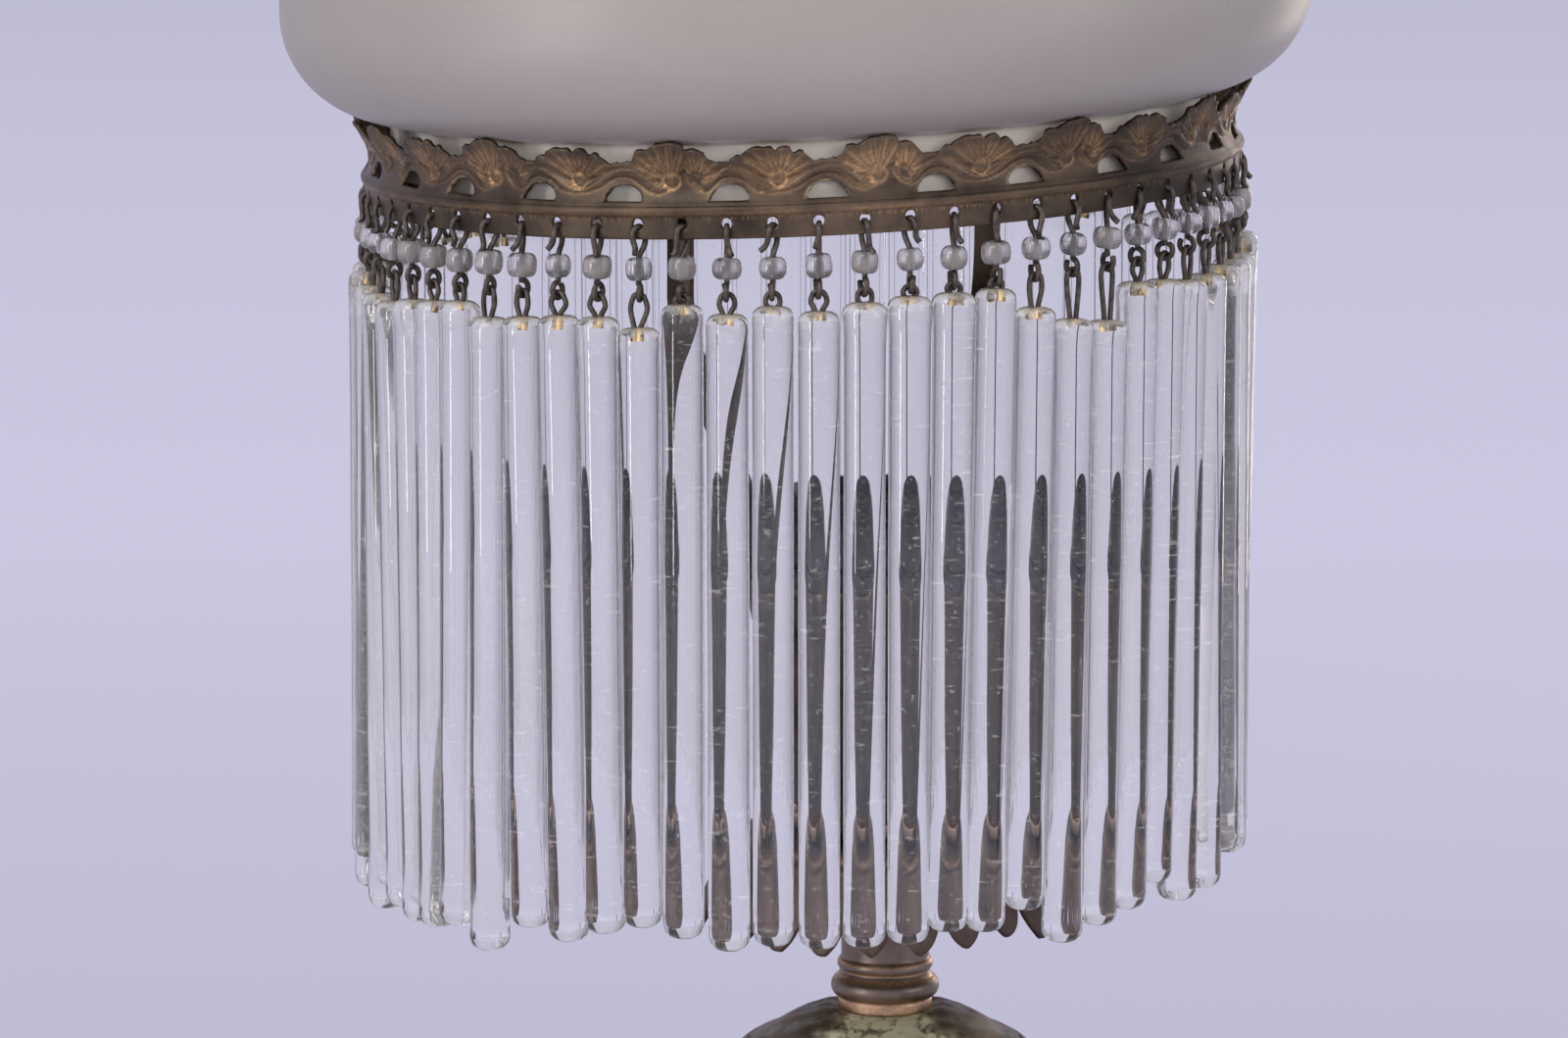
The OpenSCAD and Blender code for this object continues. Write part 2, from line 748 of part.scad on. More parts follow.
// One wire link: a straight bar through the hook's eye, on the line that its group swings
// about, with two legs fused into the rod
module link(k) {
    leg = rod_drop(k) + leg_in_glass - pivot_drop;
    leg_r = half_wire - 0.04;
    union() {
        translate(gallery_point(hole_circle_r, rod_turn(k), 0) - [0, 0, pivot_drop])
            rotate([front_dip, -left_dip, 0])
                rotate([0, 0, group_turn(k)])
                    rotate([0, 90, 0])
                        cylinder(r = half_wire, h = 2 * (link_half + leg_r), center = true, $fn = 32);
        at_hole(k)
            leaning(k)
                rotate([0, 0, group_turn(k) - rod_turn(k)])
                    for (side = [-1, 1])
                        translate([0, side * link_half, -pivot_drop - leg])
                            cylinder(r = leg_r, h = leg, $fn = 16);
    }
}

// One glass rod with fire-rounded ends, hanging from its link
module rod(k) {
    r = rod_d / 2;
    h = rod_length(k);
    translate([0, 0, -rod_drop(k)])
        difference() {
            rotate_extrude($fn = 32)
                polygon([
                    [0, 0], [r * 0.55, 0], [r * 0.82, -0.4], [r * 0.96, -1.1], [r, -2],
                    [r, -h + 1.4], [r * 0.88, -h + 0.5], [r * 0.6, -h], [0, -h]
                ]);
            rotate([0, 0, group_turn(k) - rod_turn(k)])
                for (side = [-1, 1])
                    translate([0, side * link_half, -leg_in_glass - 0.3])
                        cylinder(r = half_wire + fit_gap, h = leg_in_glass + 0.3 + past, $fn = 16);
        }
}

// The rods and links of group g, counted from 1
module rod_group(g) {
    color([0.80, 0.84, 0.86, 0.5])
        for (i = [0 : rods_per_group - 1])
            let (k = (g - 1) * rods_per_group + i)
            at_hole(k)
                leaning(k)
                    rod(k);
}

module link_group(g) {
    color([0.30, 0.24, 0.20])
        for (i = [0 : rods_per_group - 1])
            link((g - 1) * rods_per_group + i);
}

felt_pad();
tube_nut();
tube_washer();
base_weight();
foot_casting();
cord_inlet_bush();
body_casting();
threaded_tube();
collar();
petal_cup();
arm_front();
arm_back();
arm_plate();
holder_sleeve();
sleeve_lock_nut();
holder_cap();
lampholder_insert();
terminal_screws();
centre_contact();
lampholder_shell();
lampholder_body();
lampholder_ring();
gallery_band();
shade_seat_ring();
arm_rivets();
glass_shade();
hooks();
beads();
rod_group(1);  // rods_01
rod_group(2);  // rods_02
rod_group(3);  // rods_03
rod_group(4);  // rods_04
rod_group(5);  // rods_05
rod_group(6);  // rods_06
rod_group(7);  // rods_07
rod_group(8);  // rods_08
rod_group(9);  // rods_09
rod_group(10);  // rods_10
rod_group(11);  // rods_11
rod_group(12);  // rods_12
rod_group(13);  // rods_13
rod_group(14);  // rods_14
rod_group(15);  // rods_15
rod_group(16);  // rods_16
link_group(1);  // links_01
link_group(2);  // links_02
link_group(3);  // links_03
link_group(4);  // links_04
link_group(5);  // links_05
link_group(6);  // links_06
link_group(7);  // links_07
link_group(8);  // links_08
link_group(9);  // links_09
link_group(10);  // links_10
link_group(11);  // links_11
link_group(12);  // links_12
link_group(13);  // links_13
link_group(14);  // links_14
link_group(15);  // links_15
link_group(16);  // links_16
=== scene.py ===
import math
import random

import bmesh
import bpy
import numpy as np
from mathutils import Euler, Matrix, Vector


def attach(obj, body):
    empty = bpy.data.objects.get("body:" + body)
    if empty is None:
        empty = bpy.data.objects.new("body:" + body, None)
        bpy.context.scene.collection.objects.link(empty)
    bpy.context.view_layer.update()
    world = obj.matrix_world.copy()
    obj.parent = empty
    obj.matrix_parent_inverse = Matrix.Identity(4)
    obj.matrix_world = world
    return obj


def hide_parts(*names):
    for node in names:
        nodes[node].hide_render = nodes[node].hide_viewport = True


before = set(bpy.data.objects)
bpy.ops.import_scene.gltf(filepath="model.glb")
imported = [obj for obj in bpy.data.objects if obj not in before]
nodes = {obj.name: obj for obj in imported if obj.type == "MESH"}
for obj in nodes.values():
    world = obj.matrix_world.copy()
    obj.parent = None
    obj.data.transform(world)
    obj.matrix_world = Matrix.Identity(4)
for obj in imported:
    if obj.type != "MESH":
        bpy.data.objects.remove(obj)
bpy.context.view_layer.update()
mm = 0.001

# Camera, floor and studio. The camera looks down a little at the middle of the fringe.
# The floor and the air behind it are pale lavender; the floor's glow is painted brightest
# from about 1.3 m to 1.6 m behind the lamp, dimmer nearer and further off: a painted pool of light.


def add_object(name, data):
    """Makes an object and puts it in the scene."""
    made = bpy.data.objects.new(name, data)
    bpy.context.scene.collection.objects.link(made)
    return made


aim = Vector((-16.6, 0.0, 200.0)) * mm
camera_distance = 910 * mm
look_down = math.radians(8.3)
camera_data = bpy.data.cameras.new("camera")
camera_data.lens = 128.7
camera_data.sensor_width = 36.0
camera_data.clip_start = 0.01
camera_data.clip_end = 60.0
camera = add_object("camera", camera_data)
camera.location = aim + camera_distance * Vector((0, -math.cos(look_down), math.sin(look_down)))
camera.rotation_euler = (math.pi / 2 - look_down, 0, 0)
bpy.context.scene.camera = camera
bpy.context.scene.view_settings.view_transform = "Standard"


def add_node(tree, kind, inputs=None, **settings):
    """Adds a node; an input is given a value, or the socket that it is linked to."""
    made = tree.nodes.new(kind)
    for key, value in settings.items():
        setattr(made, key, value)
    for key, value in (inputs or {}).items():
        if isinstance(value, bpy.types.NodeSocket):
            tree.links.new(value, made.inputs[key])
        else:
            made.inputs[key].default_value = value
    return made


def maths(tree, operation, first, second):
    """One step of arithmetic on two values or sockets."""
    return add_node(tree, "ShaderNodeMath", {0: first, 1: second}, operation=operation).outputs[0]


def ramp(tree, value, low, high, low_out=0.0, high_out=1.0):
    """Carries a value from one range over to another and holds it at both ends."""
    return add_node(tree, "ShaderNodeMapRange", {
        "Value": value, "From Min": low, "From Max": high,
        "To Min": low_out, "To Max": high_out}).outputs[0]


def seen_directly(tree):
    """1 for the rays that show the background itself or show it through glass and in metal."""
    path = add_node(tree, "ShaderNodeLightPath").outputs
    plain = maths(tree, "MAXIMUM", path["Is Camera Ray"], path["Is Glossy Ray"])
    return maths(tree, "MAXIMUM", plain, path["Is Transmission Ray"])


backdrop_colour = (0.575, 0.560, 0.725, 1.0)
world = bpy.data.worlds.new("studio_air")
bpy.context.scene.world = world
world.use_nodes = True
world.node_tree.nodes.clear()
lighting = add_node(world.node_tree, "ShaderNodeBackground",
                    {"Color": (0.93, 0.95, 1.0, 1.0), "Strength": 0.56})
backdrop = add_node(world.node_tree, "ShaderNodeBackground",
                    {"Color": backdrop_colour, "Strength": 1.0})
air = add_node(world.node_tree, "ShaderNodeMixShader",
               {0: seen_directly(world.node_tree), 1: lighting.outputs[0], 2: backdrop.outputs[0]})
add_node(world.node_tree, "ShaderNodeOutputWorld", {"Surface": air.outputs[0]})

floor_half = 20.0
floor_mesh = bpy.data.meshes.new("floor")
floor_mesh.from_pydata([
    (-floor_half, -floor_half, 0), (floor_half, -floor_half, 0),
    (floor_half, floor_half, 0), (-floor_half, floor_half, 0)], [], [(0, 1, 2, 3)])
floor = add_object("floor", floor_mesh)
floor_material = bpy.data.materials.new("pale_floor")
floor_material.use_nodes = True
floor_tree = floor_material.node_tree
floor_tree.nodes.clear()
paint = add_node(floor_tree, "ShaderNodeBsdfDiffuse", {"Color": (0.60, 0.585, 0.70, 1.0)})
floor_place = add_node(floor_tree, "ShaderNodeTexCoord")
floor_back = add_node(floor_tree, "ShaderNodeSeparateXYZ", {
    0: floor_place.outputs["Object"]}).outputs["Y"]
# Painted pool of light: the floor's glow rises a little way behind the lamp and fades far off.
brighter = ramp(floor_tree, floor_back, 0.4, 1.3, 0.91, 1.12)
fainter = ramp(floor_tree, floor_back, 1.6, 5.0, 1.0, 0.88)
glow = add_node(floor_tree, "ShaderNodeEmission", {
    "Color": backdrop_colour, "Strength": maths(floor_tree, "MULTIPLY", brighter, fainter)})
behind_lamp = ramp(floor_tree, floor_back, -0.15, 0.3, 0.22, 0.82)
glow_share = maths(floor_tree, "MULTIPLY", seen_directly(floor_tree), behind_lamp)
floor_skin = add_node(floor_tree, "ShaderNodeMixShader",
                      {0: glow_share, 1: paint.outputs[0], 2: glow.outputs[0]})
add_node(floor_tree, "ShaderNodeOutputMaterial", {"Surface": floor_skin.outputs[0]})
floor_mesh.materials.append(floor_material)


def add_light(name, at, size, power, colour=(1, 1, 1)):
    """A soft rectangular light that faces the lamp."""
    data = bpy.data.lights.new(name, "AREA")
    data.shape = "RECTANGLE"
    data.size, data.size_y = size
    data.energy = power
    data.color = colour
    light = add_object(name, data)
    light.location = at
    light.rotation_euler = (Vector((0, 0, 0.2)) - Vector(at)).to_track_quat("-Z", "Y").to_euler()
    return light


def add_card(name, at, size, colour):
    """An upright card that only the glass shows: it draws the thin lines along the rods."""
    mesh = bpy.data.meshes.new(name)
    half, tall = size[0] / 2, size[1]
    corners = [(-half, 0, 0), (half, 0, 0), (half, 0, tall), (-half, 0, tall)]
    mesh.from_pydata(corners, [], [(0, 1, 2, 3)])
    card = add_object(name, mesh)
    card.location = at
    card.rotation_euler = (0, 0, math.atan2(at[1], at[0]) - math.pi / 2)
    card_material = bpy.data.materials.new(name)
    card_material.use_nodes = True
    card_tree = card_material.node_tree
    card_tree.nodes.clear()
    shine = add_node(card_tree, "ShaderNodeEmission", {"Color": (*colour, 1), "Strength": 1.0})
    add_node(card_tree, "ShaderNodeOutputMaterial", {"Surface": shine.outputs[0]})
    mesh.materials.append(card_material)
    card.visible_camera = False
    card.visible_diffuse = False
    card.visible_glossy = False
    card.visible_shadow = False


for side in (-1, 1):
    add_card("edge_card", (side * 0.75, 0.02, 0), (0.80, 0.7), (0.10, 0.10, 0.13))
    add_card("line_card", (side * 0.46, 0.80, 0), (0.035, 0.5), (0.20, 0.20, 0.26))

add_light("soft_key", (-0.75, -1.0, 1.25), (0.9, 0.9), 9)
low_front = add_light("low_front", (0.3, -1.45, 0.5), (1.1, 0.22), 6.5)
low_front.visible_glossy = False
low_front.visible_transmission = False
add_light("soft_fill", (1.3, -0.7, 0.7), (0.8, 1.0), 3.8)
strip_left = add_light("strip_left", (-1.1, -0.9, 0.25), (0.16, 0.9), 5)
warm_back = add_light("warm_back", (0.65, 1.0, 0.35), (0.05, 0.8), 2.0, (1.0, 0.88, 0.7))
for hidden in (strip_left, warm_back):
    hidden.visible_transmission = False

# Felt pad. A disc of dark green wool felt, glued under the foot so that the casting
# doesn't scratch the table.


def new_material(name, colour, roughness, metallic=0.0):
    """A plain finish, with its node tree and its surface shader."""
    material = bpy.data.materials.new(name)
    material.use_nodes = True
    tree = material.node_tree
    surface = tree.nodes["Principled BSDF"]
    surface.inputs["Base Color"].default_value = (*colour, 1)
    surface.inputs["Roughness"].default_value = roughness
    surface.inputs["Metallic"].default_value = metallic
    return material, tree, surface


def feed(surface, name, value):
    """Sets one input of a shader, or links it where the value is another node's socket."""
    if isinstance(value, bpy.types.NodeSocket):
        surface.id_data.links.new(value, surface.inputs[name])
    else:
        surface.inputs[name].default_value = value


def noise(tree, scale, detail=4.0, roughness=0.55, stretch=(1, 1, 1)):
    """Noise in the piece's own coordinates; scale is in features a metre."""
    where = add_node(tree, "ShaderNodeTexCoord").outputs["Object"]
    fitted = add_node(tree, "ShaderNodeMapping", {"Vector": where, "Scale": stretch})
    return add_node(tree, "ShaderNodeTexNoise", {
        "Vector": fitted.outputs[0], "Scale": scale,
        "Detail": detail, "Roughness": roughness}).outputs[0]


def layer(tree, name):
    """The values that a piece's mesh carries under a name."""
    return add_node(tree, "ShaderNodeAttribute", attribute_name=name).outputs["Fac"]


def mix_colour(tree, factor, first, second):
    """A blend of two colours, each a value or another node's socket."""
    mixed = add_node(tree, "ShaderNodeMix", data_type="RGBA")
    for key, value in (("Factor", factor), ("A", first), ("B", second)):
        socket = next(s for s in mixed.inputs
                      if s.name == key and (s.type == "RGBA" or key == "Factor"))
        if isinstance(value, bpy.types.NodeSocket):
            tree.links.new(value, socket)
        else:
            socket.default_value = (*value, 1) if socket.type == "RGBA" else value
    return next(s for s in mixed.outputs if s.type == "RGBA")


def add_bump(tree, surface, height, strength, distance_mm):
    """Fine unevenness of a surface, from a height between 0 and 1."""
    bump = add_node(tree, "ShaderNodeBump", {
        "Height": height, "Strength": strength, "Distance": distance_mm * mm})
    feed(surface, "Normal", bump.outputs[0])


def dress(node, material):
    """Gives a CAD node its finish in place of the plain one."""
    mesh = nodes[node].data
    mesh.materials.clear()
    mesh.materials.append(material)


felt, felt_tree, felt_surface = new_material("green_felt", (0.03, 0.06, 0.035), 0.95)
felt_fibres = noise(felt_tree, 1500, 6, 0.7)
feed(felt_surface, "Base Color",
     mix_colour(felt_tree, felt_fibres, (0.02, 0.045, 0.025), (0.06, 0.10, 0.06)))
feed(felt_surface, "Sheen Weight", 0.4)
add_bump(felt_tree, felt_surface, felt_fibres, 0.6, 0.3)
dress("felt_pad", felt)

# Tube, nuts, washer and weight. One threaded brass tube runs up the whole stem. A nut
# and a steel washer pull the rough iron weight up into the foot, and a second nut closes
# the sleeve from above.


def metal_finish(name, dark, light, roughness, metallic, grain=700):
    """Bare metal with a fine cast or turned grain."""
    material, tree, surface = new_material(name, light, roughness, metallic)
    tone = noise(tree, grain, 5)
    feed(surface, "Base Color", mix_colour(tree, tone, dark, light))
    feed(surface, "Roughness", ramp(tree, tone, 0.3, 0.7, roughness - 0.08, roughness + 0.12))
    add_bump(tree, surface, tone, 0.25, 0.08)
    return material


turned_brass = metal_finish("turned_brass", (0.42, 0.27, 0.10), (0.66, 0.46, 0.19), 0.32, 1.0)
raw_iron = metal_finish("raw_iron", (0.035, 0.033, 0.032), (0.10, 0.095, 0.09), 0.7, 0.7, 300)
plain_steel = metal_finish("plain_steel", (0.30, 0.30, 0.30), (0.46, 0.46, 0.45), 0.38, 1.0)
for inner in ("threaded_tube", "tube_nut", "sleeve_lock_nut"):
    dress(inner, turned_brass)
dress("tube_washer", plain_steel)
dress("base_weight", raw_iron)

# Foot casting. A spreading brass foot with an upright rim, cast in sand with a ring of
# long leaves that lie on its ogee. Dark patina, with verdigris left in the hollows.


def carry(mesh, name, values, kind="FLOAT"):
    """Puts named values on a mesh's points."""
    field = "vector" if kind == "FLOAT_VECTOR" else "value"
    mesh.attributes.new(name, kind, "POINT").data.foreach_set(field, values)


def grid_mesh(name, points, close_rows, close_columns, layers=None, matrix=None):
    """A surface through a grid of points in mm, with named values on its vertices."""
    rows, columns = points.shape[:2]
    index = np.arange(rows * columns).reshape(rows, columns)
    below = index if close_rows else index[:-1]
    above = np.roll(index, -1, 0) if close_rows else index[1:]
    if close_columns:
        faces = np.stack([below, np.roll(below, -1, 1), np.roll(above, -1, 1), above], -1)
    else:
        faces = np.stack([below[:, :-1], below[:, 1:], above[:, 1:], above[:, :-1]], -1)
    mesh = bpy.data.meshes.new(name)
    mesh.from_pydata((points.reshape(-1, 3) * mm).tolist(), [], faces.reshape(-1, 4).tolist())
    for key, values in (layers or {}).items():
        carry(mesh, key, np.broadcast_to(values, (rows, columns)).ravel().astype(np.float32))
    if matrix:
        mesh.transform(matrix)
    return add_object(name, mesh)


def close_up(piece):
    """Merges a mesh's doubled points and turns its faces outwards, smooth."""
    work = bmesh.new()
    work.from_mesh(piece.data)
    bmesh.ops.remove_doubles(work, verts=work.verts, dist=0.002 * mm)
    bmesh.ops.dissolve_degenerate(work, edges=work.edges, dist=0.001 * mm)
    bmesh.ops.recalc_face_normals(work, faces=work.faces)
    for face in work.faces:
        face.smooth = True
    work.to_mesh(piece.data)
    work.free()


def place(piece, body, material, slot, *replaced):
    """Finishes a piece: its material, its body and the CAD nodes it stands for; the slot is not
    used.
    """
    piece.data.materials.clear()
    piece.data.materials.append(material)
    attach(piece, body)
    if replaced:
        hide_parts(*replaced)


def soften(outline, reach, steps=3):
    """Rounds each corner of a closed outline of (radius, height) points."""
    corners = [np.array(p, float) for p in outline]
    points = []
    for i, corner in enumerate(corners):
        before, after = corners[i - 1], corners[(i + 1) % len(corners)]
        if corner[0] < 0.01:
            points.append(corner)
            continue
        start = corner + (before - corner) * min(0.5, reach / np.linalg.norm(before - corner))
        end = corner + (after - corner) * min(0.5, reach / np.linalg.norm(after - corner))
        for s in range(steps + 1):
            u = s / steps
            points.append((1 - u) ** 2 * start + 2 * u * (1 - u) * corner + u * u * end)
    return np.array(points)


def divide(outline, spacing):
    """Adds points to a closed outline so that none are further apart than spacing."""
    points = []
    for i, start in enumerate(outline):
        end = outline[(i + 1) % len(outline)]
        count = max(1, math.ceil(np.linalg.norm(end - start) / spacing))
        points.extend(start + (end - start) * k / count for k in range(count))
    return np.array(points)


def round_axis(turn, radius, height):
    """Points at a turn from the front, a distance from the axis and a height."""
    return np.stack([radius * np.sin(turn), -radius * np.cos(turn), height], -1)


def turned(name, outline, segments=160, relief=None, wear_and_highlight_bands=(), matrix=None):
    """Spins an outline about the axis. relief(turn, radius, height) gives its lift, wear and
    hollows, and wear_and_highlight_bands lists (height, reach) pairs where the finish is painted
    brighter: worn through, and on the collar also painted highlight."""
    outline = np.array(outline)
    inward = outline - np.roll(outline, 1, 0)
    onward = np.roll(outline, -1, 0) - outline
    along = inward / np.maximum(np.linalg.norm(inward, axis=1), 1e-9)[:, None]
    along += onward / np.maximum(np.linalg.norm(onward, axis=1), 1e-9)[:, None]
    normal = np.stack([along[:, 1], -along[:, 0]], 1)
    normal /= np.maximum(np.linalg.norm(normal, axis=1), 1e-9)[:, None]
    turn = np.linspace(0, 2 * math.pi, segments, endpoint=False)[None, :]
    radius = np.repeat(outline[:, :1], segments, 1)
    height = np.repeat(outline[:, 1:], segments, 1)
    wear = np.zeros_like(radius)
    for at, reach in wear_and_highlight_bands:
        wear = wear + np.exp(-((height - at) / reach) ** 2)
    hollow = np.zeros_like(radius)
    if relief:
        lift, more_wear, hollow = relief(np.broadcast_to(turn, radius.shape), radius, height)
        radius = np.maximum(radius + lift * normal[:, :1], 0)
        height = height + lift * normal[:, 1:]
        wear = wear + more_wear
    layers = {"wear": wear, "hollow": hollow}
    piece = grid_mesh(name, round_axis(turn, radius, height), True, True, layers, matrix)
    close_up(piece)
    return piece


def leaf(turn, s, count, shift, lift):
    """Height, ridges and hollows of one ring of leaves; s runs from their base to their tip."""
    pitch = 2 * math.pi / count
    across = ((turn - shift + pitch / 2) % pitch - pitch / 2) / (pitch / 2)
    inside = (s > 0) & (s < 1)
    s = np.clip(s, 0, 1)
    half = 0.97 * np.sqrt(np.clip(1 - s ** 2.4, 0, 1)) * (1 + 0.06 * np.sin(22 * s))
    x = np.clip(np.abs(across) / np.maximum(half, 1e-3), 0, 1)
    body = np.sqrt(np.clip(1 - x ** 2.5, 0, 1))
    vein = np.exp(-(across / 0.07) ** 2)
    folds = 0.5 + 0.5 * np.cos(2 * math.pi * (np.abs(across) * 2.2 + s * 4.5))
    height = lift * np.where(inside, body * (0.62 + 0.26 * folds) + 0.2 * vein * (1 - s), 0)
    wear = np.where(inside, body * (0.45 * folds + 0.4 * vein), 0)
    hollow = np.where(inside, np.clip((x - 0.72) * 3.0, 0, 1), 1.0)
    return height, wear, hollow


def aged_brass(name, dark, mid, bright, patina=None, roughness=0.42, metallic=0.85, grime=0.5):
    """Patinated brass: rubbed bright where 'wear' is high, verdigris where 'hollow' is."""
    material, tree, surface = new_material(name, mid, roughness, metallic)
    cloud = noise(tree, 160, 5)
    grain = noise(tree, 1400, 6, 0.7)
    colour = mix_colour(tree, ramp(tree, cloud, 0.35, 0.65), dark, mid)
    rub = maths(tree, "MULTIPLY", layer(tree, "wear"), ramp(tree, grain, 0.3, 0.62, 0.25, 1.0))
    rub = add_node(tree, "ShaderNodeClamp", {"Value": rub}).outputs[0]
    colour = mix_colour(tree, rub, colour, bright)
    if patina:
        crust = ramp(tree, noise(tree, 420, 6, 0.65), 0.38, 0.62, 0.15, 1.0)
        green = maths(tree, "MULTIPLY", layer(tree, "hollow"), crust)
        green = add_node(tree, "ShaderNodeClamp", {"Value": green}).outputs[0]
        colour = mix_colour(tree, green, colour, patina)
        feed(surface, "Metallic", ramp(tree, green, 0, 1, metallic, 0.1))
    feed(surface, "Base Color", colour)
    feed(surface, "Roughness", ramp(tree, cloud, 0.3, 0.7, roughness - 0.1, roughness + 0.14))
    add_bump(tree, surface, grain, grime, 0.12)
    return material


casting_brass = aged_brass("casting_brass", (0.030, 0.022, 0.017), (0.075, 0.052, 0.034),
                           (0.30, 0.19, 0.10), (0.36, 0.325, 0.215), 0.45, 0.8, 0.8)
bore = 5.05
foot_outline = divide(soften([
    (bore, 24), (14, 24), (16, 33), (20, 33), (25, 27.5), (31, 22), (38, 17.5), (44, 14.5),
    (48, 12.5), (51.5, 10), (51.5, 2), (55, 2), (55, 9.5), (54.2, 11.4), (52.5, 12.6),
    (50, 13.6), (45, 16.8), (39, 20.5), (33, 25.5), (27.5, 31.5), (24, 36.5), (22.8, 39.2),
    (22, 41), (bore, 41)], 1.0), 0.9)


def foot_relief(turn, radius, height):
    """Twelve long leaves on the outer skin with twelve short ones between, and a beaded rim."""
    on_skin = (radius > 21) & (height > 12.3 + (55 - radius) * 0.1)
    underside = (height < 33.2) & (radius < 51.6) & (height < 36 - (radius - 16) * 0.61)
    mask = np.where(on_skin & ~underside, 1.0, 0.0)
    out_along = (radius - 23) / (50.5 - 23)
    lift, wear, hollow = leaf(turn, out_along, 12, 0.0, 1.1)
    short_lift, short_wear, _ = leaf(turn, out_along * 1.7, 12, math.pi / 12, 0.8)
    rim = np.where((radius > 54) & (height > 3) & (height < 10), 1.0, 0.0)
    beading = rim * 0.3 * np.cos(60 * turn)
    return (np.maximum(lift, short_lift) * mask + beading,
            np.maximum(wear, short_wear) * mask + rim * 0.35, hollow * mask + rim * 0.2)


foot = turned("foot", foot_outline, 288, foot_relief, [(10.5, 0.8)])
place(foot, "stand", casting_brass, "patinated_casting", "foot_casting")

# Cable inlet. A hard black rubber bush pressed into the rear of the rim, so that the
# metal doesn't chafe the cable.
bush_rubber, bush_tree, bush_surface = new_material("bush_rubber", (0.018, 0.017, 0.016), 0.6)
bush_grain = noise(bush_tree, 2200, 4)
feed(bush_surface, "Base Color",
     mix_colour(bush_tree, bush_grain, (0.010, 0.010, 0.010), (0.030, 0.028, 0.026)))
add_bump(bush_tree, bush_surface, bush_grain, 0.3, 0.05)
dress("cord_inlet_bush", bush_rubber)

# Body casting. A hollow vase, cast in sand: two broad leaves lie over the shoulder and
# climb to the collar, eight hang down the belly and eight stand on the waist.
shoulder_z = 103
body_outline = divide(soften([
    (bore, 41), (21, 41), (22, 42.5), (21.4, 44.5), (18.5, 46.5), (15, 49.5), (13.2, 54),
    (13.6, 59), (16, 65), (19.8, 72), (24, 80), (27.4, 88), (29.2, 95), (29.6, 100),
    (28.6, 105), (26.4, 110), (23.6, 113.2), (21.7, 114.4), (17, 116), (13, 117), (9.6, 119),
    (bore, 119), (bore, 114), (16, 112), (22, 108), (25.2, 102), (25.4, 95), (23.4, 88),
    (20, 80), (15.8, 72), (12, 65), (9.8, 59), (9.4, 52), (bore, 50)], 1.2), 0.8)


def body_relief(turn, radius, height):
    """The leaves of the outer skin; the inside of the vase stays plain."""
    skin = np.interp(height[:, 0], [41, 46, 54, 65, 80, 88, 95, 100, 105, 110, 114.4, 117, 119],
                     [20, 18, 12.6, 15, 23, 26.6, 28.4, 28.6, 27.6, 25.2, 20.5, 11, 7.5])
    outer = np.where(radius[:, 0] > skin - 0.9, 1.0, 0.0)[:, None]
    half_turn = np.abs(turn % math.pi - math.pi / 2) / (math.pi / 2)
    across = np.clip(half_turn / (0.62 + 0.05 * np.sin(radius * 1.1)), 0, 1)
    broad = np.sqrt(np.clip(1 - across ** 4, 0, 1))
    folds = 0.5 + 0.5 * np.cos(2 * math.pi * (half_turn * 3.2 + radius / 8.5))
    rise = np.interp(radius, [7.6, 9, 12, 14.4, 17, 19.6, 22.7, 28],
                     [0.2, 0.8, 1.4, 1.45, 0.6, -0.2, -0.3, 0.4])
    top_lift = rise * broad * (0.82 + 0.18 * folds) - 0.45 * (1 - broad) * (radius > 8.5)
    top_wear = broad * 0.35 * folds
    top_hollow = (1.9 * np.clip(1.1 - broad * 1.2, 0, 1) + 0.4 * broad * (1 - folds)
                  + np.clip((9.2 - radius) / 1.2, 0, 1) * 0.8)
    belly_lift, belly_wear, belly_hollow = leaf(
        turn, (102 - height) / 40, 8, 0.12 + math.pi / 8, 1.6)
    waist_lift, waist_wear, waist_hollow = leaf(turn, (height - 45) / 24, 8, 0.12, 1.1)
    is_top = height > shoulder_z
    lift = np.where(is_top, top_lift, np.maximum(belly_lift, waist_lift))
    wear = np.where(is_top, top_wear, np.maximum(belly_wear, waist_wear))
    hollow = np.where(is_top, top_hollow, 0.55 * np.minimum(belly_hollow, waist_hollow))
    mask = outer * (radius > 7.6) * (height > 42)
    return lift * mask, wear * mask, hollow * mask


vase = turned("vase", body_outline, 288, body_relief)
place(vase, "stand", casting_brass, "patinated_casting", "body_casting")

# Collar. A turned brass spacer with two beads; handling has rubbed the bottom ring back to
# copper-coloured metal, and the copper bands along the beads' upper sides and on the neck
# are worn brass with painted highlights.
stem_brass = aged_brass("stem_brass", (0.125, 0.098, 0.082), (0.235, 0.178, 0.145),
                        (0.68, 0.42, 0.23), None, 0.36, 0.9, 0.2)


def arc_points(centre_r, centre_z, half_r, half_z, first, last, steps=10):
    """Points of an elliptical arc between two angles in degrees, both ends with it."""
    return [(centre_r + half_r * math.cos(math.radians(first + (last - first) * i / steps)),
             centre_z + half_z * math.sin(math.radians(first + (last - first) * i / steps)))
            for i in range(steps + 1)]


collar_outline = (
    [(bore, 119), (7.5, 119), (7.7, 119.3), (7.7, 120.7), (7.5, 121.0)]
    + arc_points(6.9, 122.9, 2.0, 2.0, -68, 62) + [(7.45, 125.25)]
    + arc_points(6.6, 126.6, 1.25, 1.25, -55, 55) + [(7.2, 128.0), (7.2, 147.7), (bore, 147.7)])
# Bright bands: the bottom ring is rubbed metal; those on the beads and the neck are painted
# highlights as well as wear.
collar = turned("collar_turning", soften(collar_outline, 0.12, 2), 128, None,
                [(120.0, 1.6), (124.6, 0.4), (127.3, 0.35), (130.5, 1.2), (125.7, 0.2)])
place(collar, "stand", stem_brass, "brown_brass", "collar")

